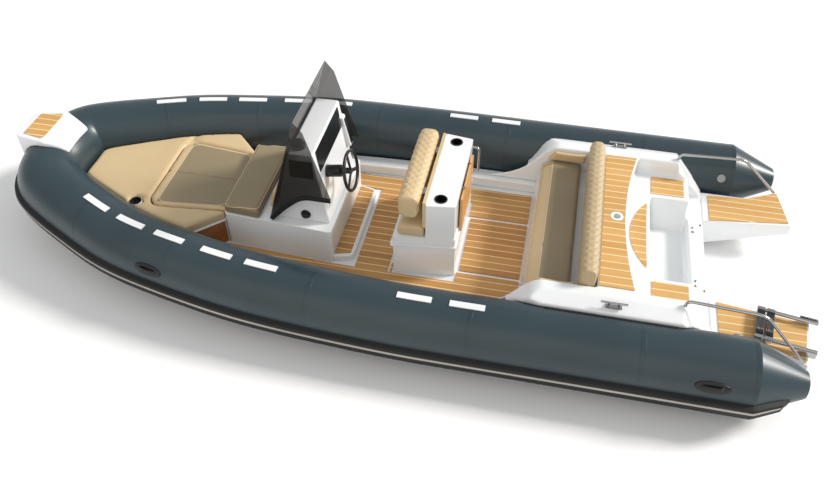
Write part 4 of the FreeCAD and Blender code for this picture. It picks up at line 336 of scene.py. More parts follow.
@dataclass(frozen=True)
class TeakFinish(Material):
    """Synthetic teak with pale caulk lines along X.

    Attributes:
        light: the lightest wood colour.
        dark: the darkest wood colour.
        caulk: the caulk's colour.
        pitch: the distance of two lines, in metres.
        seam: a line's width, in metres.
        roughness: the least and the most roughness.
        fibre_share: the fibre's part in the wood's colour; the plank's tone has the rest.
        depth: how deep the caulk lies.
    """

    light: Colour = (0.72, 0.40, 0.13)
    dark: Colour = (0.52, 0.25, 0.07)
    caulk: Colour = (0.86, 0.68, 0.36)
    pitch: float = 0.0785
    seam: float = 0.009
    roughness: tuple[float, float] = (0.5, 0.7)
    fibre_share: float = 0.7
    depth: float = 0.001

    def write(self, nodes: Nodes, shader: Node) -> None:
        """Writes the nodes ahead of the shader."""
        planks = nodes.add("ShaderNodeGroup", node_tree=bpy.data.node_groups["planks"])
        nodes.give(planks, Pitch=self.pitch, Seam=self.seam)
        fibre = nodes.math("MULTIPLY", planks.outputs["Fibre"], self.fibre_share)
        tone = nodes.math("MULTIPLY", planks.outputs["Tone"], 1 - self.fibre_share)
        blend = nodes.math("ADD", fibre, tone)
        wood = nodes.ramp(blend, [(0.25, self.dark), (0.75, self.light)])
        mix = nodes.add("ShaderNodeMix", data_type="RGBA")
        nodes.join(planks.outputs["Caulk"], mix.inputs["Factor"])
        nodes.join(wood, mix.inputs["A"])
        nodes.give(mix, B=(*self.caulk, 1.0))
        nodes.join(mix.outputs["Result"], shader.inputs["Base Color"])
        nodes.join(nodes.spread(planks.outputs["Fibre"], *self.roughness), shader.inputs["Roughness"])
        grain = nodes.math("MULTIPLY", planks.outputs["Fibre"], 0.25)
        height = nodes.math("SUBTRACT", grain, planks.outputs["Caulk"])
        nodes.join(nodes.bump(height, self.depth), shader.inputs["Normal"])


@dataclass(frozen=True)
class GlassFinish(Material):
    """Smoked glass that lets part of the light through.

    Attributes:
        tint: its own colour.
        roughness: its roughness.
        opacity: how much it hides.
        shine: how strongly it mirrors.
        patch: the scale of the tint's drift, per metre.
    """

    tint: Colour = (0.020, 0.017, 0.013)
    roughness: float = 0.03
    opacity: float = 0.60
    shine: float = 0.3
    patch: float = 1.2

    def write(self, nodes: Nodes, shader: Node) -> None:
        """Writes the nodes ahead of the shader."""
        drift = nodes.add("ShaderNodeGroup", node_tree=bpy.data.node_groups["mottle"])
        nodes.give(drift, Patch_Scale=self.patch)
        nearly = tuple(value * 1.12 for value in self.tint)
        colour = nodes.ramp(drift.outputs["Patch"], [(0.3, self.tint), (0.7, nearly)])
        nodes.join(colour, shader.inputs["Base Color"])
        nodes.give(shader, Roughness=self.roughness, IOR=1.5, Alpha=self.opacity)
        nodes.give(shader, Specular_IOR_Level=self.shine)


GELCOAT = Finish("white gelcoat", (0.85, 0.87, 0.88), (0.81, 0.83, 0.845),
                 0.24, 0.04, 260.0, 0.00005, coat=0.4)
HULL_GELCOAT = Finish("hull gelcoat", (0.80, 0.82, 0.84), (0.74, 0.76, 0.78),
                      0.25, 0.04, 300.0, 0.00005, coat=0.4)
COLLAR_FABRIC = Finish("collar fabric", (0.029, 0.051, 0.062), (0.023, 0.041, 0.051),
                       0.34, 0.06, 1100.0, 0.00015)
COLLAR_TAPE = Finish("collar tape", (0.026, 0.046, 0.056), (0.021, 0.038, 0.047), 0.31, 0.05, 1100.0, 0.0001)
STRAKE_RUBBER = Finish("black rubber", (0.004, 0.004, 0.0045), (0.0025, 0.0025, 0.003),
                       0.62, 0.08, 500.0, 0.0002)
STRAKE_LIGHT = Finish("light strip", (0.46, 0.42, 0.38), (0.36, 0.33, 0.30), 0.4, 0.06, 500.0, 0.0001)
TREAD_WHITE = Finish("white rubber", (0.84, 0.86, 0.86), (0.76, 0.78, 0.79), 0.45, 0.08, 600.0, 0.0002)
VINYL = Finish("tan vinyl", (0.66, 0.50, 0.29), (0.60, 0.445, 0.25), 0.44, 0.06, 1400.0, 0.0002)
# Painted shade: the tan vinyl made darker, for the bench backrest.
VINYL_PAINTED_SHADE = Finish("tan vinyl with painted shade", (0.53, 0.41, 0.24), (0.48, 0.365, 0.21), 0.46, 0.06, 1400.0, 0.0002)
DARK_VINYL = Finish("grey tan vinyl", (0.30, 0.24, 0.145), (0.265, 0.21, 0.125), 0.46, 0.06, 1400.0, 0.0002)
PIPING = Finish("light piping", (0.74, 0.60, 0.40), (0.66, 0.53, 0.34), 0.4, 0.06, 1400.0, 0.0001)
SEAM = Finish("sewn seam", (0.30, 0.21, 0.12), (0.24, 0.165, 0.09), 0.6, 0.06, 1600.0, 0.0002)
BLACK_PLASTIC = Finish("black plastic", (0.010, 0.010, 0.011), (0.006, 0.006, 0.007),
                       0.35, 0.08, 700.0, 0.0001)
SCREEN_BLACK = Finish("black panel", (0.012, 0.011, 0.010), (0.007, 0.007, 0.007),
                      0.16, 0.04, 300.0, 0.00003, coat=0.4)
DARK_CUP = Finish("cup black", (0.004, 0.004, 0.004), (0.003, 0.003, 0.003), 0.4, 0.08, 700.0, 0.0001)
STEEL = Finish("stainless steel", (0.50, 0.49, 0.48), (0.38, 0.37, 0.36),
               0.20, 0.07, 260.0, 0.00003, metallic=1.0)
GREY_PLASTIC = Finish("grey plastic", (0.36, 0.38, 0.39), (0.28, 0.30, 0.31), 0.4, 0.06, 600.0, 0.0001)
# Painted shadow: darkened teak for the sheets on the locker's wings, which stand for the sole's teak in
# shadow.
TEAK_PAINTED_SHADOW = Finish("teak with painted shadow", (0.34, 0.13, 0.035), (0.24, 0.085, 0.022), 0.4, 0.06, 60.0, 0.0001, patch=9.0)
TABLE_WOOD = Finish("varnished wood", (0.70, 0.37, 0.12), (0.60, 0.29, 0.08),
                    0.35, 0.06, 60.0, 0.0001, coat=0.3, patch=9.0)
DECK_TEAK = TeakFinish("deck teak", (0.70, 0.41, 0.14), (0.56, 0.30, 0.09), (0.90, 0.72, 0.42))
# Painted shade: the deck's teak made darker for the sole, which lies in the cockpit's shade.
SOLE_TEAK_PAINTED_SHADE = TeakFinish("sole teak with painted shade", (0.60, 0.325, 0.11), (0.42, 0.20, 0.06), (0.88, 0.66, 0.34))
SMOKED = GlassFinish("smoked glass")
PALE_FLOOR = Finish("floor", (0.96, 0.96, 0.96), (0.94, 0.94, 0.94), 0.9, 0.02, 40.0, 0.0001)


def shade(piece: Piece, way: Shading) -> None:
    """Shades all faces smooth or flat."""
    count = len(piece.data.polygons)
    piece.data.polygons.foreach_set("use_smooth", np.full(count, way is Shading.SMOOTH))
    piece.data.update()


def dress(piece: Piece, finish: Material) -> None:
    """Gives a piece one finish."""
    piece.data.materials.clear()
    piece.data.materials.append(finish.make())


def place(piece: Piece, body: str, finish: Material, slot: str) -> None:
    """Dresses a new piece and lets it ride on a body.

    Args:
        piece: the new object.
        body: the body it moves with.
        finish: its finish.
        slot: the record's material slot; not used.
    """
    dress(piece, finish)
    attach(piece, body)
    log.info("made %s with %d faces", piece.name, len(piece.data.polygons))


def linked(name: str, data: bpy.types.ID) -> Piece:
    """A new object in the scene that shows the given data."""
    piece = bpy.data.objects.new(name, data)
    bpy.context.scene.collection.objects.link(piece)
    return piece


def mesh_piece(name: str, points: np.ndarray, faces: Sequence[np.ndarray],
               way: Shading = Shading.SMOOTH) -> Piece:
    """Makes an object from arrays.

    Args:
        name: the piece's name.
        points: n by 3 places.
        faces: arrays of quads or triangles, as indices.
        way: how it is shaded.

    Returns:
        The object, linked to the scene.
    """
    mesh = bpy.data.meshes.new(name)
    mesh.from_pydata(points.tolist(), [], [face for part in faces for face in part.tolist()])
    mesh.validate()
    piece = linked(name, mesh)
    shade(piece, way)
    return piece


def grid_faces(rows: int, columns: int, wrap_rows: bool, wrap_columns: bool) -> np.ndarray:
    """Quads of a grid of points kept row by row.

    Args:
        rows: how many rows.
        columns: how many points in a row.
        wrap_rows: True if the last row joins the first.
        wrap_columns: True if each row is a ring.

    Returns:
        An array of quads.
    """
    last_row = rows if wrap_rows else rows - 1
    last_column = columns if wrap_columns else columns - 1
    i, j = np.meshgrid(np.arange(last_row), np.arange(last_column), indexing="ij")
    a = i * columns + j
    b = i * columns + (j + 1) % columns
    c = ((i + 1) % rows) * columns + (j + 1) % columns
    d = ((i + 1) % rows) * columns + j
    return np.stack([a, b, c, d], axis=-1).reshape(-1, 4)


def smooth_line(points: Sequence[Sequence[float]], count: int) -> np.ndarray:
    """Even points on a Catmull-Rom curve through given points.

    Between two given points the place is the usual cubic of the four
    nearest ones.

    Args:
        points: the given points.
        count: how many points to return.

    Returns:
        count by 3 places.
    """
    given = np.asarray(points, float)
    padded = np.vstack([2 * given[0] - given[1], given, 2 * given[-1] - given[-2]])
    spans = len(given) - 1
    fine = np.linspace(0, spans, spans * 24, endpoint=False)
    k = fine.astype(int)
    t = (fine - k)[:, None]
    p0, p1, p2, p3 = padded[k], padded[k + 1], padded[k + 2], padded[k + 3]
    curve = 0.5 * (2 * p1 + (p2 - p0) * t + (2 * p0 - 5 * p1 + 4 * p2 - p3) * t ** 2
                   + (3 * p1 - p0 - 3 * p2 + p3) * t ** 3)
    return even_line(np.vstack([curve, given[-1:]]), count)


def even_line(points: np.ndarray, count: int) -> np.ndarray:
    """Points at even distances along a polyline, by linear steps of its length."""
    steps = np.linalg.norm(np.diff(points, axis=0), axis=1)
    length = np.concatenate([[0.0], np.cumsum(steps)])
    wanted = np.linspace(0, length[-1], count)
    return np.stack([np.interp(wanted, length, points[:, k]) for k in range(3)], axis=1)


def directions(path: np.ndarray, closed: bool) -> np.ndarray:
    """Unit tangents of a path by central differences."""
    if closed:
        step = np.roll(path, -1, axis=0) - np.roll(path, 1, axis=0)
    else:
        step = np.gradient(path, axis=0)
    return step / np.linalg.norm(step, axis=1, keepdims=True)


def ringed_piece(name: str, rings: np.ndarray, ends: Optional[np.ndarray] = None,
                 way: Shading = Shading.SMOOTH) -> Piece:
    """Joins rings of points, one after the other.

    Args:
        name: the piece's name.
        rings: rows by columns by 3 places.
        ends: a place in the middle of the first and of the last ring, which
            a fan joins to it; without them the last ring joins the first.
        way: how it is shaded.

    Returns:
        The object, with its faces turned outwards.
    """
    rows, columns = rings.shape[:2]
    points = rings.reshape(-1, 3)
    faces = [grid_faces(rows, columns, ends is None, True)]
    if ends is not None:
        points = np.vstack([points, ends])
        around = np.arange(columns)
        ahead = np.roll(around, -1)
        last = (rows - 1) * columns
        middle = np.full(columns, rows * columns)
        faces.append(np.stack([around, ahead, middle], axis=1))
        faces.append(np.stack([last + ahead, last + around, middle + 1], axis=1))
    return outward(mesh_piece(name, points, faces, way))


def swept_piece(name: str, path: np.ndarray, profile: np.ndarray, up: np.ndarray = UP,
                closed: bool = False) -> Piece:
    """Carries a closed profile along a path.

    Each ring is path + side * profile x + rise * profile y, where side is
    the unit vector across the tangent and the up direction, and rise is
    across side and the tangent. Open ends get a fan to their middle.

    Args:
        name: the piece's name.
        path: n by 3 places.
        profile: m by 2 offsets, a ring.
        up: the direction that the profile's y follows.
        closed: True if the path is a ring.

    Returns:
        The object.
    """
    along = directions(path, closed)
    side = np.cross(along, up)
    side /= np.linalg.norm(side, axis=1, keepdims=True)
    rise = np.cross(side, along)
    rings = path[:, None, :] + side[:, None, :] * profile[:, :1] + rise[:, None, :] * profile[:, 1:]
    return ringed_piece(name, rings, None if closed else path[[0, -1]])


def turned_piece(name: str, centre: Sequence[float], out: np.ndarray, rise: np.ndarray,
                 ends: tuple[float, float], sides: int) -> Piece:
    """A form turned round the upright line through a centre.

    Args:
        name: the piece's name.
        centre: the place that the heights count from.
        out: how far each ring is from the line.
        rise: each ring's height.
        ends: the heights of the middles of the first and last ring.
        sides: how many points a ring has.

    Returns:
        The object.
    """
    angle = np.linspace(0, FULL_TURN, sides, endpoint=False)
    level = np.repeat(rise[:, None], sides, axis=1)
    rings = np.stack([out[:, None] * np.cos(angle), out[:, None] * np.sin(angle), level], axis=-1)
    middles = np.array([[0.0, 0.0, ends[0]], [0.0, 0.0, ends[1]]])
    return ringed_piece(name, rings + centre, middles + centre)


def dome(name: str, centre: Sequence[float], radius: float, height: float, finish: Finish, slot: str) -> None:
    """A low dome: its height falls with the cosine of the way out, over a short wall.

    Args:
        name: the piece's name.
        centre: the middle of its foot.
        radius: its radius.
        height: its height, 0.4 of which is the wall.
        finish: its finish.
        slot: the record's material slot.
    """
    turn = np.linspace(0.12, math.pi / 2, 7)
    out = np.append(np.sin(turn), 1.0) * radius
    rise = np.append(np.cos(turn) * height * 0.6 + height * 0.4, 0.0)
    place(turned_piece(name, centre, out, rise, (height, 0.0), 24), "boat", finish, slot)


def outward(piece: Piece) -> Piece:
    """Turns all faces of a closed piece outwards."""
    work = bmesh.new()
    work.from_mesh(piece.data)
    bmesh.ops.recalc_face_normals(work, faces=work.faces)
    work.to_mesh(piece.data)
    work.free()
    return piece


def slab(name: str, corners: Sequence[Sequence[float]], depth: Sequence[float]) -> Piece:
    """A flat slab: four corners and the same four moved by a depth."""
    face = np.asarray(corners, float)
    points = np.vstack([face, face + np.asarray(depth, float)])
    faces = np.array([[0, 1, 2, 3], [7, 6, 5, 4], [0, 4, 5, 1], [1, 5, 6, 2], [2, 6, 7, 3], [3, 7, 4, 0]])
    return outward(mesh_piece(name, points, [faces], Shading.FLAT))


def merged(name: str, pieces: Sequence[Piece]) -> Piece:
    """One object from several, which are taken away."""
    work = bmesh.new()
    for piece in pieces:
        work.from_mesh(piece.data)
        bpy.data.objects.remove(piece)
    mesh = bpy.data.meshes.new(name)
    work.to_mesh(mesh)
    work.free()
    whole = linked(name, mesh)
    shade(whole, Shading.SMOOTH)
    return whole


def ring_profile(radius: float, sides: int) -> np.ndarray:
    """Points of a circle."""
    angle = np.linspace(0, FULL_TURN, sides, endpoint=False)
    return radius * np.stack([np.cos(angle), np.sin(angle)], axis=1)


def flat_profile(width: float, height: float, power: float = 4.0) -> np.ndarray:
    """Rounded rectangle: a circle's cosine and sine raised to 2 over a power."""
    circle = ring_profile(1.0, 24)
    return np.sign(circle) * np.abs(circle) ** (2 / power) * (width, height) / 2


def solid_copy(node: str, name: str) -> Piece:
    """A copy of a CAD node with its loose triangles joined at their corners."""
    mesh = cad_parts[node].data.copy()
    mesh.name = name
    work = bmesh.new()
    work.from_mesh(mesh)
    bmesh.ops.remove_doubles(work, verts=work.verts, dist=JOIN_WITHIN)
    bmesh.ops.dissolve_limit(work, angle_limit=math.radians(FLAT_WITHIN), verts=work.verts, edges=work.edges)
    work.to_mesh(mesh)
    work.free()
    return linked(name, mesh)


def keep_modifiers(piece: Piece) -> None:
    """Puts the result of a piece's modifiers into its mesh."""
    graph = bpy.context.evaluated_depsgraph_get()
    result = bpy.data.meshes.new_from_object(piece.evaluated_get(graph))
    piece.modifiers.clear()
    piece.data = result


def eased_copy(node: str, name: str, width: float) -> Piece:
    """A moulded copy of a CAD node with its sharp edges rounded.

    Args:
        node: the CAD node.
        name: the piece's name.
        width: the rounding, in metres.

    Returns:
        The object, which replaces the node.
    """
    piece = solid_copy(node, name)
    bevel = piece.modifiers.new("round", "BEVEL")
    bevel.width = width
    bevel.segments = 3
    bevel.limit_method = "ANGLE"
    bevel.angle_limit = math.radians(SHARP_FROM)
    bevel.use_clamp_overlap = True
    keep_modifiers(piece)
    shade(piece, Shading.SMOOTH)
    weight = piece.modifiers.new("weight", "WEIGHTED_NORMAL")
    weight.keep_sharp = True
    keep_modifiers(piece)
    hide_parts(node)
    return piece


@dataclass
class Moulding:
    """White moulded pieces whose edges are eased.

    Attributes:
        roundings: CAD nodes and their edge rounding in metres.
        stern: the nodes that are one moulding at the stern.
        voxel: the cell of the stern's skin, in metres.
        easing: how often the stern's skin is smoothed.
        bow_voxel: the cell of the bow step's skin.
        bow_easing: how often the bow step's skin is smoothed.
        apron: X, Z and half the width of the sloping back of the bow step.
    """

    roundings: dict[str, float] = field(default_factory=lambda: {
        "console_base": 0.016,
        "console_tower": 0.014,
        "leaning_post_base": 0.006,
        "leaning_post_cabinet": 0.010,
        "bench_base": 0.010,
        "bow_locker": 0.008,
        "deck_liner": 0.006,
        "side_walls": 0.014,
        "helm_step": 0.006,
        "backrest_brackets": 0.006,
        "swim_platforms": 0.012,
        "pedestal_ring": 0.003,
    })
    stern: tuple[str, ...] = ("stern_moulding", "transom_board", "side_steps", "coamings")
    voxel: float = 0.0115
    easing: int = 5
    bow_voxel: float = 0.007
    bow_easing: int = 7
    apron: tuple[tuple[float, float, float], ...] = (
        (5.738, 0.700, 0.180), (5.80, 0.746, 0.196), (5.87, 0.786, 0.214),
        (5.96, 0.812, 0.232), (5.96, 0.770, 0.232), (5.758, 0.655, 0.180),
    )

    def build(self) -> None:
        """Makes and dresses every moulded piece."""
        for node, width in self.roundings.items():
            piece = eased_copy(node, node + "_moulded", width)
            place(piece, "boat", GELCOAT, "gelcoat")
        skin = skinned_copy(self.stern, "stern_skin", self.voxel, self.easing)
        place(skin, "boat", GELCOAT, "gelcoat")
        step = skinned_copy(("bow_step",), "bow_step_skin", self.bow_voxel, self.bow_easing, self.bow_back())
        place(step, "boat", GELCOAT, "gelcoat")

    def bow_back(self) -> Faces:
        """The bow step's sloping back as a slab over the collar."""
        work = bmesh.new()
        left, right = ([work.verts.new((x, side * half, z)) for x, z, half in self.apron] for side in (-1, 1))
        for i in range(len(left)):
            j = (i + 1) % len(left)
            work.faces.new((left[i], left[j], right[j], right[i]))
        work.faces.new(left[::-1])
        work.faces.new(right)
        bmesh.ops.recalc_face_normals(work, faces=work.faces)
        return work


def joined_copy(nodes: Sequence[str], name: str, work: Optional[Faces] = None) -> Piece:
    """One object from merged copies of several CAD nodes, added to given faces."""
    work = work or bmesh.new()
    for node in nodes:
        work.from_mesh(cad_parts[node].data)
    bmesh.ops.remove_doubles(work, verts=work.verts, dist=JOIN_WITHIN)
    mesh = bpy.data.meshes.new(name)
    work.to_mesh(mesh)
    work.free()
    return linked(name, mesh)


def reskin(piece: Piece, voxel: float, easing: int) -> None:
    """Gives a closed piece one even skin and smooths it."""
    remesh = piece.modifiers.new("skin", "REMESH")
    remesh.mode = "VOXEL"
    remesh.voxel_size = voxel
    remesh.use_smooth_shade = True
    ease = piece.modifiers.new("ease", "SMOOTH")
    ease.factor = 0.5
    ease.iterations = easing
    keep_modifiers(piece)
    shade(piece, Shading.SMOOTH)


def skinned_copy(nodes: Sequence[str], name: str, voxel: float, easing: int,
                 extra: Optional[Faces] = None) -> Piece:
    """One soft-edged moulding made of several CAD nodes.

    Args:
        nodes: the CAD nodes that it replaces.
        name: the piece's name.
        voxel: the skin's cell, in metres.
        easing: how often it is smoothed.
        extra: closed faces that are added to the nodes.

    Returns:
        The object.
    """
    piece = joined_copy(nodes, name, extra)
    reskin(piece, voxel, easing)
    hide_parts(*nodes)
    return piece


class Skin:
    """The surface of a piece, to lay other things on."""

    def __init__(self, source: Piece) -> None:
        """Keeps the faces of a piece for casting lines at them."""
        mesh = source.data
        places = [vertex.co.copy() for vertex in mesh.vertices]
        self.tree = BVHTree.FromPolygons(places, [tuple(face.vertices) for face in mesh.polygons])

    def hits(self, starts: np.ndarray, ways: np.ndarray) -> tuple[np.ndarray, np.ndarray]:
        """First places and normals that lines meet; a line that meets nothing is left out."""
        found = [self.tree.ray_cast(Vector(start), Vector(way)) for start, way in zip(starts, ways)]
        kept = [(hit, normal) for hit, normal, _, _ in found if hit is not None]
        return np.array([hit for hit, _ in kept]), np.array([normal for _, normal in kept])

    def below(self, path: np.ndarray) -> tuple[np.ndarray, np.ndarray]:
        """Where a path falls on the surface, straight down from a little over it."""
        return self.hits(path + UP * FALL_FROM, np.tile(-UP, (len(path), 1)))

    def around(self, centre: np.ndarray, across: np.ndarray, angle: np.ndarray,
               reach: float = 1.6) -> tuple[np.ndarray, np.ndarray, np.ndarray]:
        """Places round the collar, where lines towards its middle meet the fabric.

        A line's way out is across * cos(angle) + up * sin(angle).

        Args:
            centre: places on the collar's centreline.
            across: the level unit way out of them.
            angle: the angles over that level, in radians.
            reach: where the lines start, in collar radii.

        Returns:
            The places, the fabric's normals and the ways out.
        """
        ways = np.cos(angle)[..., None] * across + np.sin(angle)[..., None] * UP
        starts = (centre + ways * COLLAR_RADIUS * reach).reshape(-1, 3)
        ways = ways.reshape(-1, 3)
        hits, normals = self.hits(starts, -ways)
        return hits, normals, ways


def rounded_path(corners: Sequence[Sequence[float]], radius: float, step: float = 0.012,
                 closed: bool = True) -> np.ndarray:
    """Outline through corners that are rounded.

    Each corner is a quadratic curve between the two points that lie one
    radius before and after it.

    Args:
        corners: the corners.
        radius: how far the rounding reaches.
        step: the spacing of the result.
        closed: True for a ring.

    Returns:
        The even points.
    """
    given = np.asarray(corners, float)
    parts = []
    count = len(given)
    share = np.linspace(0, 1, 9)[:, None]
    for i in range(count):
        if not closed and i in (0, count - 1):
            parts.append(given[i:i + 1])
            continue
        before, here, after = given[i - 1], given[i], given[(i + 1) % count]
        back, ahead = before - here, after - here
        reach = min(radius, np.linalg.norm(back) / 2, np.linalg.norm(ahead) / 2)
        start = here + back / np.linalg.norm(back) * reach
        end = here + ahead / np.linalg.norm(ahead) * reach
        parts.append((1 - share) ** 2 * start + 2 * share * (1 - share) * here + share ** 2 * end)
    line = np.vstack(parts)
    if closed:
        line = np.vstack([line, line[:1]])
    length = np.linalg.norm(np.diff(line, axis=0), axis=1).sum()
    wanted = max(8, int(length / step))
    even = even_line(line, wanted + 1 if closed else wanted)
    return even[:-1] if closed else even


@dataclass(frozen=True)
class Pad:
    """How one soft CAD node is stuffed.

    Attributes:
        node: the CAD node.
        voxel: the cover's cell, in metres.
        cap: how far a point may move along X, Y and Z.
        shrink: how much smaller the cover starts.
        fill: how full it is.
        quilt: how it is sewn through.
        pitch: the length of one diamond.
        depth: how deep the sewing pulls the cover.
        bend: how stiff the cover is.
        cover: its finish.
        roll_from: ahead of this X the cover is of the light vinyl.
        panel: aft X, forward X and the half widths there of the dark
            panel; outside it the cover is of the light vinyl.
    """

    node: str
    voxel: float
    cap: tuple[float, float, float] = (0.004, 0.004, 0.012)
    shrink: float = 0.003
    fill: float = 0.8
    quilt: Quilt = Quilt.PLAIN
    pitch: float = 0.075
    depth: float = 0.005
    bend: float = 0.5
    cover: Finish = VINYL
    roll_from: Optional[float] = None
    panel: Optional[tuple[float, float, float, float]] = None


@dataclass(frozen=True)
class Cord:
    """A cord of piping or a seam that lies on a pad's top along an outline.

    Attributes:
        name: the piece's name.
        node: the pad's CAD node.
        corners: X and Y of the outline's corners.
        radius: how far the rounding of a corner reaches.
        finish: its finish.
        closed: True for a ring.
        level: a Z at or over the pad's top.
    """

    name: str
    node: str
    corners: Pairs
    radius: float = 0.01
    finish: Finish = PIPING
    closed: bool = False
    level: float = 0.6


@dataclass
class Upholstery:
    """All pads: covers, stuffing, seams and piping.

    Attributes:
        pads: the soft nodes.
        cords: the piping and seams on them.
        seat_inset: how far the piping of the console's seat is from its edge.
        seat_front: half the width of that piping at the front.
        frames: how long the stuffing runs.
        pressure: the pressure inside a cover.
        stiffness: how stiff a cover is along itself.
        mass: a cover's mass.
        cord: the piping's radius.
        end_fade: how far from a roll's end its diamonds fade out.
        seam_half: half the width of a sewn middle seam.
        made: the finished pads by node.
    """

    pads: tuple[Pad, ...] = (
        Pad("bow_cushions", 0.016, (0.002, 0.002, 0.010)),
        Pad("infill_mattress", 0.012, (0.002, 0.002, 0.010), quilt=Quilt.MIDDLE, cover=DARK_VINYL,
            panel=(4.215, 4.826, 0.360, 0.425)),
        Pad("console_seat_cushion", 0.011, (0.004, 0.004, 0.012), cover=DARK_VINYL),
        Pad("console_backrest", 0.009, (0.008, 0.004, 0.004)),
        Pad("leaning_post_seat", 0.010, (0.004, 0.004, 0.010)),
        Pad("leaning_post_bolster", 0.0085, (0.008, 0.004, 0.008), quilt=Quilt.DIAMOND),
        Pad("bench_cushions", 0.012, (0.004, 0.002, 0.012), cover=DARK_VINYL, roll_from=1.436),
        # Painted shade: the bench backrest's cover is the tan vinyl made darker.
        Pad("bench_backrest", 0.0095, (0.007, 0.003, 0.008), quilt=Quilt.DIAMOND, cover=VINYL_PAINTED_SHADE),
        Pad("arm_cushions", 0.009, (0.003, 0.003, 0.006), shrink=0.002),
    )
    cords: tuple[Cord, ...] = (
        Cord("mattress_piping_outer", "infill_mattress",
             ((4.206, -0.382), (4.891, -0.448), (4.891, 0.448), (4.206, 0.382)), 0.085, closed=True),
        Cord("mattress_piping_inner", "infill_mattress",
             ((4.215, -0.360), (4.826, -0.425), (4.826, 0.425), (4.215, 0.360)), 0.085, closed=True),
        Cord("mattress_seam", "infill_mattress", ((4.22, 0.0), (4.82, 0.0)), finish=SEAM),
        Cord("bench_seam_roll", "bench_cushions", ((1.436, -0.80), (1.436, 0.30))),
        Cord("bench_seam_roll_port", "bench_cushions", ((1.436, 0.36), (1.436, 0.80))),
        Cord("bench_seam_side", "bench_cushions", ((1.20, -0.754), (1.52, -0.754)), finish=SEAM),
    )
    seat_inset: float = 0.016
    seat_front: float = 0.44
    frames: int = 20
    pressure: float = 4.0
    stiffness: float = 12.0
    mass: float = 0.25
    cord: float = 0.0035
    end_fade: float = 0.03
    seam_half: float = 0.007
    made: dict[str, Piece] = field(default_factory=dict)

    def blank(self, pad: Pad) -> Piece:
        """The cover before it is stuffed: an even skin, a little smaller."""
        piece = joined_copy((pad.node,), pad.node + "_pad")
        reskin(piece, pad.voxel, 2)
        points, normals = arrays(piece)
        points -= normals * pad.shrink
        set_points(piece, points)
        return piece

    def stuff(self, covers: dict[str, Piece]) -> None:
        """Blows up all covers at once with Cloth, then limits each move.

        A point moves by cap times the hyperbolic tangent of its move over
        the cap, and the underside stays flat.

        Args:
            covers: the covers by node.
        """
        scene = bpy.context.scene
        scene.frame_start, scene.frame_end = 1, self.frames
        for pad in self.pads:
            cloth = covers[pad.node].modifiers.new("stuffing", "CLOTH")
            cloth.settings.use_pressure = True
            cloth.settings.uniform_pressure_force = self.pressure
            cloth.settings.effector_weights.gravity = 0.0
            cloth.settings.quality = 3
            cloth.settings.mass = self.mass
            cloth.settings.tension_stiffness = self.stiffness
            cloth.settings.compression_stiffness = self.stiffness
            cloth.settings.bending_stiffness = pad.bend
            cloth.point_cache.frame_start = 1
            cloth.point_cache.frame_end = self.frames
        for step in range(1, self.frames + 1):
            scene.frame_set(step)
        graph = bpy.context.evaluated_depsgraph_get()
        for pad in self.pads:
            piece = covers[pad.node]
            old, normals = arrays(piece)
            new = points_of(piece.evaluated_get(graph).data)
            piece.modifiers.clear()
            cap = np.asarray(pad.cap)
            move = cap * np.tanh((new - old) / cap)
            under = np.clip(-normals[:, 2] * 2 - 0.6, 0, 1)[:, None]
            set_points(piece, old + move * (1 - under))
            log.info("stuffed %s", piece.name)
        scene.frame_set(1)

    def sew(self, pad: Pad, piece: Piece) -> None:
        """Subdivides a cover once and pulls in its sewn lines.

        Diamonds: with u the length along Y over the pitch and v the angle
        round the roll over the angle of one diamond, the depth follows the
        root of |sin pi(u+v)| |sin pi(u-v)|, and fades out at the ends.
        Middle seam: the depth is a bell curve of Y.

        Args:
            pad: its sizes.
            piece: the cover.
        """
        finer = piece.modifiers.new("finer", "SUBSURF")
        finer.levels = finer.render_levels = 1
        keep_modifiers(piece)
        shade(piece, Shading.SMOOTH)
        points, normals = arrays(piece)
        if pad.quilt is Quilt.DIAMOND:
            low, high = points.min(axis=0), points.max(axis=0)
            middle = (low + high) / 2
            around = np.arctan2(points[:, 2] - middle[2], points[:, 0] - middle[0])
            girth = 2 * ((high - low)[0] + (high - low)[2]) * 0.9
            count = round(girth / pad.pitch)
            u = points[:, 1] / pad.pitch
            v = around / FULL_TURN * count
            form = np.sqrt(np.abs(np.sin(math.pi * (u + v)) * np.sin(math.pi * (u - v))))
            ends = np.clip((high[1] - np.abs(points[:, 1])) / self.end_fade, 0, 1)
            flat = np.clip(1.6 - 2 * np.abs(normals[:, 1]), 0, 1)
            points -= normals * (pad.depth * (1 - form) * ends * flat)[:, None]
        if pad.quilt is Quilt.MIDDLE:
            bell = np.exp(-(points[:, 1] / self.seam_half) ** 2) * (normals[:, 2] > 0.2)
            points -= normals * (pad.depth * bell)[:, None]
        set_points(piece, points)

    def roll(self, pad: Pad, piece: Piece) -> None:
        """Gives the faces ahead of the roll's seam or outside the panel the light vinyl.

        The panel's half width is linear along X between its two ends.
        """
        if pad.roll_from is None and pad.panel is None:
            return
        piece.data.materials.append(VINYL.make())
        centres = np.empty(len(piece.data.polygons) * 3)
        piece.data.polygons.foreach_get("center", centres)
        x, y, _ = centres.reshape(-1, 3).T
        if pad.roll_from is not None:
            light = x > pad.roll_from
        else:
            aft, fwd, aft_half, fwd_half = pad.panel
            half = np.interp(x, (aft, fwd), (aft_half, fwd_half))
            light = (x < aft) | (x > fwd) | (np.abs(y) > half)
        piece.data.polygons.foreach_set("material_index", light.astype(np.int32))

    def lay(self, cord: Cord) -> None:
        """Lets a cord fall on its pad."""
        path = rounded_path([(x, y, cord.level) for x, y in cord.corners], cord.radius, closed=cord.closed)
        hits, _ = Skin(self.made[cord.node]).below(path)
        piece = swept_piece(cord.name, hits, ring_profile(self.cord, 8), closed=cord.closed)
        place(piece, "boat", cord.finish, "cushion")

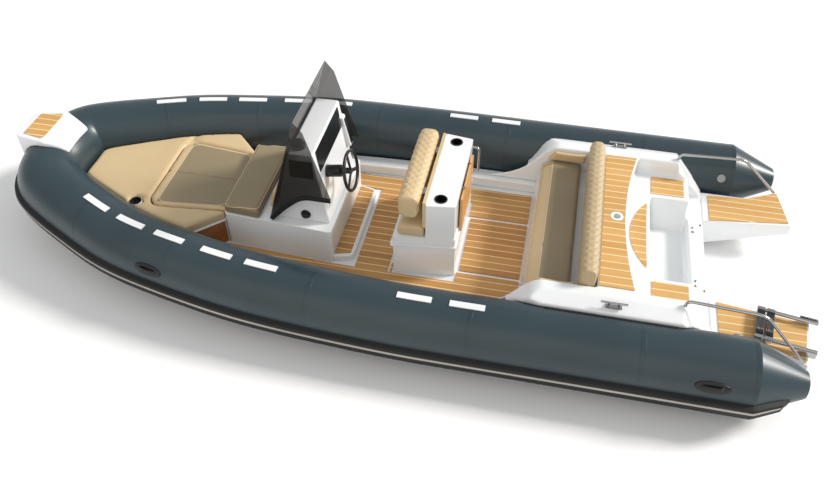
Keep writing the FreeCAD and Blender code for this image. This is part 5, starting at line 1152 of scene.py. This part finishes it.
    def seat_cord(self) -> Cord:
        """The piping of the console's seat, which follows the seat's box."""
        low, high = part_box("console_seat_cushion")
        aft = low[0] + self.seat_inset
        fwd = high[0] - self.seat_inset
        side = self.seat_inset * 1.6
        front = self.seat_front
        corners = ((aft, low[1] + side), (fwd, -front), (fwd, front), (aft, high[1] - side))
        return Cord("seat_piping", "console_seat_cushion", corners, 0.04, closed=True, level=0.7)

    def build(self) -> None:
        """Makes, stuffs, sews and dresses every pad."""
        covers = {pad.node: self.blank(pad) for pad in self.pads}
        self.stuff(covers)
        for pad in self.pads:
            piece = covers[pad.node]
            self.sew(pad, piece)
            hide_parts(pad.node)
            place(piece, "boat", pad.cover, "cushion")
            self.roll(pad, piece)
            self.made[pad.node] = piece
        for cord in (*self.cords, self.seat_cord()):
            self.lay(cord)


def points_of(mesh: bpy.types.Mesh) -> np.ndarray:
    """The places of a mesh's points."""
    places = np.empty(len(mesh.vertices) * 3)
    mesh.vertices.foreach_get("co", places)
    return places.reshape(-1, 3)


def arrays(piece: Piece) -> tuple[np.ndarray, np.ndarray]:
    """The places and normals of a piece's points."""
    mesh = piece.data
    normals = np.empty(len(mesh.vertices) * 3)
    mesh.vertices.foreach_get("normal", normals)
    return points_of(mesh), normals.reshape(-1, 3)


def set_points(piece: Piece, places: np.ndarray) -> None:
    """Moves a piece's points."""
    piece.data.vertices.foreach_set("co", places.ravel())
    piece.data.update()


@dataclass
class CollarTrim:
    """Seam tapes on the collar, its handles and the gaskets of the coamings.

    Attributes:
        tapes: stations of the tapes, in metres along X.
        tape_span: from which angle to which a tape goes round, in degrees
            from level on the inner side.
        width: a tape's width.
        proud: how far a tape stands off the fabric.
        handles: the handles' middles along X.
        handle_angle: how far up the collar's side they are, in degrees.
        handle_half: half a pad's length.
        handle_width: a pad's width round the collar.
        handle_pad: a pad's thickness.
        grip_half: half a grip's length.
        grip_rise: how far a grip stands over its pad.
        grip: a grip's width and thickness.
        stern_end: X to which the collar's line goes on aft.
        gasket_span: X of a gasket's ends.
        gasket_place: Y of a gasket and Z of the coaming's foot.
        gasket_size: a gasket's width and thickness.
    """

    tapes: tuple[float, ...] = (-0.19, 0.62, 1.9, 3.15, 4.35, 5.22)
    tape_span: tuple[float, float] = (-62, 196)
    width: float = 0.036
    proud: float = 0.0012
    handles: tuple[float, ...] = (0.110, 4.474)
    handle_angle: float = 24.5
    handle_half: float = 0.130
    handle_width: float = 0.098
    handle_pad: float = 0.012
    grip_half: float = 0.078
    grip_rise: float = 0.024
    grip: tuple[float, float] = (0.030, 0.010)
    stern_end: float = -0.59
    gasket_span: tuple[float, float] = (0.36, 1.36)
    gasket_place: tuple[float, float] = (1.066, 0.585)
    gasket_size: tuple[float, float] = (0.022, 0.012)

    def tape(self, skin: Skin, station: float, side: int) -> None:
        """One tape round the collar.

        The ring is where lines from outside meet the fabric, in the plane
        across the centreline.

        Args:
            skin: the fabric.
            station: its place along X.
            side: 1 for port, -1 for starboard.
        """
        line = smooth_line(COLLAR_LINE, 400)
        line[:, 1] *= side
        index = int(np.abs(line[:, 0] - station).argmin())
        across = np.cross(UP, directions(line, False)[index]) * -side
        across /= np.linalg.norm(across)
        hits, normals, _ = skin.around(line[index], across, np.radians(np.linspace(*self.tape_span, 90)))
        name = "collar_tape_%s_%d" % (SIDE_NAMES[side], round(station * 100) + 100)
        tape = swept_piece(name, hits, flat_profile(self.width, self.proud * 2, 6.0), up=normals)
        place(tape, "boat", COLLAR_TAPE, "collar_fabric")

    def handle(self, skin: Skin, station: float, side: int) -> list[Piece]:
        """An oval pad on the collar and the flat grip over it.

        With r the way out from the pad's middle, from 0 to 1, its height
        is its thickness times the cube root of 1 - r^6. The grip's height
        falls with the fourth power of the way from its middle.

        Args:
            skin: the fabric.
            station: the pad's middle along X.
            side: 1 for port, -1 for starboard.

        Returns:
            The pad and the grip.
        """
        line = smooth_line(COLLAR_LINE, 1200)
        line = np.vstack([[[self.stern_end, *line[0, 1:]]], line])
        line[:, 1] *= side
        middle = int(np.abs(line[:, 0] - station).argmin())
        along = line[min(middle + 4, len(line) - 1)] - line[max(middle - 4, 1)]
        along /= np.linalg.norm(along)
        across = np.cross(UP, along) * side
        across /= np.linalg.norm(across)
        centre = np.array([np.interp(station, line[:, 0], values) for values in line.T])

        def laid(u: np.ndarray, w: np.ndarray, rise: np.ndarray) -> tuple[np.ndarray, np.ndarray]:
            """Places and normals at u along and w round the collar, moved out by a rise."""
            angle = np.radians(self.handle_angle) + w / COLLAR_RADIUS
            hits, normals, _ = skin.around(centre + u[:, None] * along, across, angle)
            return hits + normals * rise[:, None], normals

        rings = np.array([0.25, 0.5, 0.7, 0.85, 0.94, 0.98, 1.0])
        sides = 40
        out = np.repeat(rings, sides)
        turn = np.tile(np.linspace(0, FULL_TURN, sides, endpoint=False), len(rings))
        # The rim and the foot lie a little inside the fabric
        rise = self.handle_pad * np.cbrt(1 - out ** 6) - 0.001 * (out > 0.99)
        top, _ = laid(out * np.cos(turn) * self.handle_half, out * np.sin(turn) * self.handle_width / 2, rise)
        ends, _ = laid(np.zeros(2), np.zeros(2), np.array([self.handle_pad, -0.004]))
        label = "%s_%d" % (SIDE_NAMES[side], round(station * 100))
        pad = ringed_piece("handle_pad_" + label, top.reshape(len(rings), sides, 3), ends)
        share = np.linspace(-1, 1, 40)
        rise = self.handle_pad * 0.6 + self.grip_rise * (1 - share ** 4)
        path, normals = laid(share * self.grip_half, np.zeros(40), rise)
        return [pad, swept_piece("handle_grip_" + label, path, flat_profile(*self.grip), up=normals)]

    def gasket(self, skin: Skin, side: int) -> None:
        """Dark rubber along the foot of a coaming where it meets the collar."""
        x = np.linspace(*self.gasket_span, 60)
        y, z = self.gasket_place
        hits, normals = skin.below(np.stack([x, np.full_like(x, y * side), np.full_like(x, z)], axis=1))
        name = "coaming_gasket_" + SIDE_NAMES[side]
        strip = swept_piece(name, hits, flat_profile(*self.gasket_size), up=normals)
        place(strip, "boat", STRAKE_RUBBER, "strake_rubber")

    def build(self) -> None:
        """Makes both sides."""
        skin = Skin(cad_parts["inflatable_collar"])
        for side in (1, -1):
            for station in self.tapes:
                self.tape(skin, station, side)
            self.gasket(skin, side)
        parts = [piece for side in (1, -1) for x in self.handles for piece in self.handle(skin, x, side)]
        handles = merged("lifting_handles_soft", parts)
        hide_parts("lifting_handles")
        place(handles, "boat", DARK_CUP, "black_plastic")


@dataclass
class Strake:
    """Rubbing strake round the collar, with its light stripe.

    A section is a ring of pairs: the angle round the collar from level,
    in degrees, and how far the point stands off the fabric, in metres.

    Attributes:
        section: the strake's section.
        stripe: the stripe's section.
        strake_end: X where the strake ends on the stern cones.
        stripe_end: X where the stripe ends.
        fade: how far from its end a band starts to get thinner.
    """

    section: Pairs = (
        (4.0, -0.003), (0.6, 0.034), (-0.6, 0.039), (-2.6, 0.042),
        (-18.2, 0.050), (-19.6, 0.049), (-21.0, 0.044), (-31.0, -0.003),
    )
    stripe: Pairs = (
        (-4.0, 0.036), (-4.0, 0.0445), (-4.5, 0.0455), (-8.0, 0.0455), (-8.6, 0.0445), (-8.6, 0.036),
    )
    strake_end: float = -0.462
    stripe_end: float = -0.450
    fade: float = 0.05

    def band(self, name: str, skin: Skin, section: Pairs, end: float) -> Piece:
        """A band laid on the collar from one stern cone round the bow to the other.

        Each point lies where a line from outside, at its angle, meets the
        fabric, moved outward by its height.

        Args:
            name: the piece's name.
            skin: the fabric.
            section: its section.
            end: X of its ends.

        Returns:
            The piece.
        """
        port = smooth_line(np.vstack([[[end, *COLLAR_LINE[0][1:]]], COLLAR_LINE]), 260)
        line = even_line(np.vstack([port, (port * (1, -1, 1))[-2::-1]]), 520)
        out = np.cross(UP, directions(line, False) * (1, 1, 0))
        out /= np.linalg.norm(out, axis=1, keepdims=True)
        angle, height = np.array(section).T
        hits, _, ways = skin.around(line[:, None, :], out[:, None, :], np.radians(angle)[None], 1.8)
        rise = np.clip((line[:, 0] - end) / self.fade, 0.25, 1.0)[:, None] * height
        rings = (hits + ways * rise.reshape(-1, 1)).reshape(len(line), len(section), 3)
        return ringed_piece(name, rings, rings[[0, -1]].mean(axis=1), Shading.FLAT)

    def build(self) -> None:
        """Makes the strake and its stripe."""
        skin = Skin(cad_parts["inflatable_collar"])
        strake = self.band("rub_strake_band", skin, self.section, self.strake_end)
        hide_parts("rub_strake")
        place(strake, "boat", STRAKE_RUBBER, "strake_rubber")
        stripe = self.band("strake_stripe_band", skin, self.stripe, self.stripe_end)
        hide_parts("strake_stripe")
        place(stripe, "boat", STRAKE_LIGHT, "strake_rubber")


@dataclass
class SternTrim:
    """Bolts in the transom and the ladder's treads.

    Attributes:
        bolts: X and Y of the bolts on the transom's top.
        bolt_top: Z of the transom's top.
        bolt: a bolt's radius and height.
        hinge: where the ladder turns.
        yaw: how far the ladder is turned from the keel line.
        tread_size: a tread cover's width and half its length.
        tread_levels: Z of a cover's underside, of its edge and of its top, from the hinge.
        tread_edge: the share of the width that rises to the top.
        ribs: how many ribs a cover has.
        rib: a rib's height.
    """

    bolts: Pairs = (
        (0.155, 0.30), (0.155, 0.355), (0.155, -0.30), (0.155, -0.355), (0.085, 0.40), (0.085, -0.40),
    )
    bolt_top: float = 0.329
    bolt: tuple[float, float] = (0.012, 0.008)
    hinge: Place = (-0.708, 0.760, 0.372)
    yaw: float = 9.5
    tread_size: tuple[float, float] = (0.058, 0.128)
    tread_levels: tuple[float, float, float] = (0.0165, 0.0175, 0.0215)
    tread_edge: float = 0.04
    ribs: int = 6
    rib: float = 0.0025

    def placed(self, points: np.ndarray) -> np.ndarray:
        """Places drawn straight along X, turned by the yaw and moved to the hinge."""
        turn = math.radians(-self.yaw)
        x = points[:, 0] * math.cos(turn) - points[:, 1] * math.sin(turn)
        y = points[:, 0] * math.sin(turn) + points[:, 1] * math.cos(turn)
        return np.stack([x, y, points[:, 2]], axis=1) + np.asarray(self.hinge)

    def tread(self, name: str, body: str, x: float) -> None:
        """A black ribbed cover on a tread: its height is a row of half waves along X."""
        width, half = self.tread_size
        base, edge, top = self.tread_levels
        rows, columns = 60, 5
        u, v = np.meshgrid(np.linspace(0, 1, rows), np.linspace(-half, half, columns), indexing="ij")
        wave = self.rib * np.sqrt(np.abs(np.sin(u * math.pi * self.ribs)))
        level = edge + (top - edge) * np.clip(np.minimum(u, 1 - u) / self.tread_edge, 0, 1) + wave
        upper = np.stack([x + u * width, v, level], axis=-1).reshape(-1, 3)
        lower = upper.copy()
        lower[:, 2] = base
        faces = grid_faces(rows, columns, False, False)
        under = faces[:, ::-1] + rows * columns
        points = self.placed(np.vstack([upper, lower]))
        piece = outward(mesh_piece(name, points, [faces, under, self.rim(rows, columns)]))
        place(piece, body, BLACK_PLASTIC, "black_plastic")

    def rim(self, rows: int, columns: int) -> np.ndarray:
        """Quads that join the borders of two equal grids kept one after the other."""
        index = np.arange(rows * columns).reshape(rows, columns)
        ring = np.concatenate([index[0], index[1:, -1], index[-1, -2::-1], index[-2:0:-1, 0]])
        ahead = np.roll(ring, -1)
        return np.stack([ring, ahead, ahead + rows * columns, ring + rows * columns], axis=1)

    def build(self) -> None:
        """Makes the bolts and the treads."""
        for i, (x, y) in enumerate(self.bolts):
            dome("transom_bolt_%d" % i, (x, y, self.bolt_top), *self.bolt, STEEL, "stainless")
        self.tread("tread_cover_outer", "ladder", 0.308)
        self.tread("tread_cover_inner", "ladder_slider", 0.380)


@dataclass
class HelmTrim:
    """Small things at the helm and the bow: cup liner, windscreen foot, socket and compass glass.

    Attributes:
        cup: the middle of the bow cup's rim.
        cup_radius: the liner's radius.
        cup_depth: the liner's depth.
        foot: X and Z of the band along the foot of the windscreen's wings.
        foot_side: how far the band is from the centreline.
        foot_thickness: the band's thickness.
        foot_height: the band's height.
        foot_rounding: how far the rounding of the band's corners reaches.
        growth: how much larger the socket's plate and knob are than the CAD's.
        glass: the compass glass's radius as a share of the compass's length.
    """

    cup: Place = (5.02, 0.442, 0.4555)
    cup_radius: float = 0.0455
    cup_depth: float = 0.069
    foot: Pairs = ((3.199, 0.798), (3.448, 0.798), (3.600, 0.665), (3.740, 0.508))
    foot_side: float = 0.4645
    foot_thickness: float = 0.022
    foot_height: float = 0.038
    foot_rounding: float = 0.08
    growth: tuple[float, float] = (1.24, 1.45)
    glass: float = 0.36

    def liner(self) -> None:
        """Black cup: a lip, a wall and a floor turned round the cup's middle."""
        radius, depth = self.cup_radius, self.cup_depth
        # From the wall's foot over the lip and down to the floor
        lip = [radius, radius, radius + 0.007, radius - 0.001, radius - 0.003]
        out = np.array([*lip, radius - 0.006, 0.012])
        rise = np.array([-depth, 0.001, 0.001, 0.0045, 0.0, 0.008 - depth, 0.004 - depth])
        piece = turned_piece("bow_cup_liner", self.cup, out, rise, (-depth, 0.004 - depth), 40)
        place(piece, "boat", DARK_CUP, "black_plastic")

    def bands(self) -> None:
        """Black bands along the foot of the windscreen's wings."""
        profile = flat_profile(self.foot_thickness, self.foot_height, 6.0)
        parts = []
        for side in (1, -1):
            corners = [(x, self.foot_side * side, z) for x, z in self.foot]
            path = rounded_path(corners, self.foot_rounding, 0.008, closed=False)
            parts.append(swept_piece("foot_%d" % side, path, profile))
        bands = merged("windscreen_foot", parts)
        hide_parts("windscreen_trim")
        place(bands, "boat", STRAKE_RUBBER, "black_plastic")

    def larger(self, node: str, factor: float, finish: Finish) -> None:
        """A CAD node drawn larger about its middle, but for its depth across."""
        piece = eased_copy(node, node + "_large", 0.002)
        points = points_of(piece.data)
        middle = (points.max(axis=0) + points.min(axis=0)) / 2
        set_points(piece, middle + (points - middle) * np.array([factor, 1.0, factor]))
        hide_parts(node)
        place(piece, "boat", finish, "black_plastic")

    def build(self) -> None:
        """Makes the cup's liner, the windscreen's foot, the socket and the compass's glass."""
        self.liner()
        self.bands()
        self.larger("socket_plate", self.growth[0], GELCOAT)
        self.larger("socket_knob", self.growth[1], BLACK_PLASTIC)
        low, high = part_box("compass")
        centre = ((low[0] + high[0]) / 2, (low[1] + high[1]) / 2, high[2] - 0.002)
        radius = (high[0] - low[0]) * self.glass
        dome("compass_glass", centre, radius, radius * 0.62, SCREEN_BLACK, "black_plastic")


@dataclass
class Joinery:
    """Teak that fills the sole up to the console, in teak with painted shade, and sheets of darkened teak,
    painted shadow, on the locker's wings.

    Attributes:
        strips: X from and to, Y from and to of the strips beside the post and the helm step.
        sole: Z of the teak's underside and top.
        wing: X and Y of the two ends of the locker's slanted face.
        wing_height: Z from and to of the shadow sheet.
        shadow_sheet: the shadow sheet's thickness.
        pad_split: X ahead of which the helm step's teak is moved forward.
        pad_edge: X to which the helm step's teak reaches.
        pad_grow: how much wider the helm step's teak is than the CAD's.
    """

    strips: tuple[tuple[float, float, float, float], ...] = (
        (2.696, 2.725, 0.532, 0.720), (3.006, 3.044, 0.530, 0.720),
    )
    sole: tuple[float, float] = (0.1195, 0.1289)
    wing: Pairs = ((4.196, 0.445), (4.436, 0.686))
    wing_height: tuple[float, float] = (0.132, 0.372)
    shadow_sheet: float = 0.003
    pad_split: float = 3.15
    pad_edge: float = 3.202
    pad_grow: float = 0.024

    def build(self) -> None:
        """Makes the strips, the sheets of painted shadow and the helm step's pad."""
        base, top = self.sole
        (x0, y0), (x1, y1) = self.wing
        low, high = self.wing_height
        for side, label in SIDE_NAMES.items():
            for i, (aft, fwd, inner, outer) in enumerate(self.strips):
                outline = ((aft, inner), (fwd, inner), (fwd, outer), (aft, outer))
                corners = [(x, y * side, base) for x, y in outline]
                strip = slab("sole_strip_%s_%d" % (label, i), corners, (0, 0, top - base))
                # The sole's strips get the teak with painted shade.
                place(strip, "boat", SOLE_TEAK_PAINTED_SHADE, "teak")
            length = math.hypot(x1 - x0, y1 - y0)
            depth = np.array([-(y1 - y0), (x1 - x0) * side, 0.0]) / length * self.shadow_sheet
            outline = ((x0, y0, low), (x1, y1, low), (x1, y1, high), (x0, y0, high))
            corners = [(x, y * side, z) for x, y, z in outline]
            # Painted shadow: a sheet of darkened teak on the locker's slanted wing stands for the sole's teak
            # lying in shadow.
            place(slab("locker_painted_shadow_" + label, corners, depth), "boat", TEAK_PAINTED_SHADOW, "teak")
        pad = solid_copy("helm_step_teak", "helm_step_pad")
        points = points_of(pad.data)
        x = points[:, 0]
        points[:, 0] = np.where(x > self.pad_split, x + self.pad_edge - x.max(), x - self.pad_grow)
        points[:, 1] += np.sign(points[:, 1]) * self.pad_grow
        set_points(pad, points)
        shade(pad, Shading.FLAT)
        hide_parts("helm_step_teak")
        # The helm step's pad gets the teak with painted shade.
        place(pad, "boat", SOLE_TEAK_PAINTED_SHADE, "teak")


@dataclass(frozen=True)
class Sun:
    """A distant light.

    Attributes:
        name: its name.
        source: the direction that its light comes from.
        power: its strength.
        size: how wide it looks, in degrees; a wide one casts soft shadows.
        colour: its colour.
    """

    name: str
    source: Place
    power: float
    size: float
    colour: Colour

    def build(self) -> None:
        """Puts the light in the scene."""
        data = bpy.data.lights.new(self.name, "SUN")
        data.energy = self.power
        data.angle = math.radians(self.size)
        data.color = self.colour
        lamp = linked(self.name, data)
        lamp.rotation_euler = Vector(self.source).to_track_quat("Z", "Y").to_euler()


@dataclass
class Studio:
    """Camera, floor and lights.

    Attributes:
        floor_half: half the floor's side.
        suns: a soft sun from the stern quarter and a warm, wide fill from port.
        sky: the strength of the even light.
        sky_colour: its colour.
    """

    floor_half: float = 60.0
    suns: tuple[Sun, ...] = (
        Sun("sun", (-0.78, -0.34, 0.56), 3.5, 14, (1.0, 0.97, 0.92)),
        Sun("fill", (0.2, 1.0, 0.75), 0.65, 70, (1.0, 0.87, 0.72)),
    )
    sky: float = 0.56
    sky_colour: Colour = (0.92, 0.96, 1.0)

    def camera(self) -> None:
        """Sets the camera by its right, up and look directions."""
        data = bpy.data.cameras.new("camera")
        data.sensor_width = SENSOR_WIDTH
        data.lens = CAMERA_FOCAL / PHOTO_WIDTH * SENSOR_WIDTH
        data.clip_end = 200.0
        camera = linked("camera", data)
        back = [-value for value in CAMERA_LOOK]
        turn = Matrix([CAMERA_RIGHT, CAMERA_UP, back]).transposed().to_4x4()
        camera.matrix_world = Matrix.Translation(CAMERA_PLACE) @ turn
        bpy.context.scene.camera = camera

    def floor(self) -> None:
        """A pale floor at the waterline."""
        square = np.array([(-1, -1, 0), (1, -1, 0), (1, 1, 0), (-1, 1, 0)])
        points = square * self.floor_half + UP * WATERLINE
        piece = mesh_piece("floor", points, [np.array([[0, 1, 2, 3]])], Shading.FLAT)
        dress(piece, PALE_FLOOR)

    def lights(self) -> None:
        """The suns and an even sky."""
        for sun in self.suns:
            sun.build()
        world = bpy.data.worlds.new("studio")
        bpy.context.scene.world = world
        world.use_nodes = True
        nodes = Nodes(world.node_tree)
        nodes.give(nodes.tree.nodes["Background"], Color=(*self.sky_colour, 1.0), Strength=self.sky)

    def build(self) -> None:
        """Sets up the whole studio."""
        self.camera()
        self.floor()
        self.lights()
        bpy.context.scene.view_settings.view_transform = "Standard"


@dataclass
class Fittings:
    """Finishes of the CAD nodes that keep their own shape.

    Attributes:
        plain: the finish of each of those nodes.
    """

    plain: dict[str, Material] = field(default_factory=lambda: {
        "hull": HULL_GELCOAT,
        "inflatable_collar": COLLAR_FABRIC,
        "collar_treads": TREAD_WHITE,
        "inflation_valves": GREY_PLASTIC,
        "bow_eye": STEEL,
        "console_panels": SCREEN_BLACK,
        "compass": BLACK_PLASTIC,
        "windscreen": SMOKED,
        "helm_hub": BLACK_PLASTIC,
        "steering_wheel": BLACK_PLASTIC,
        "cup_holders": DARK_CUP,
        "bolster_backing": VINYL,
        "bolster_brackets": STEEL,
        "folding_table": TABLE_WOOD,
        "table_bracket": STEEL,
        "post_grab_rail": STEEL,
        "stern_rails": STEEL,
        "cleats": STEEL,
        "ladder_bracket": STEEL,
        "ladder_frame": STEEL,
        "ladder_extension": STEEL,
        # The sole's teak gets the teak with painted shade.
        "sole_teak": SOLE_TEAK_PAINTED_SHADE,
        "bow_step_teak": DECK_TEAK,
        "sundeck_teak": DECK_TEAK,
        "step_teak": DECK_TEAK,
        "platform_teak": DECK_TEAK,
    })

    def build(self) -> None:
        """Dresses every node."""
        for node, finish in self.plain.items():
            dress(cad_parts[node], finish)
            log.info("finished %s", node)


def main() -> None:
    """Builds every sub-assembly in order."""
    logging.basicConfig(level=logging.INFO, format="%(name)s: %(message)s")
    make_mottle()
    make_planks()
    Studio().build()
    Fittings().build()
    Moulding().build()
    Upholstery().build()
    CollarTrim().build()
    SternTrim().build()
    HelmTrim().build()
    Strake().build()
    Joinery().build()


if __name__ == "__main__":
    main()
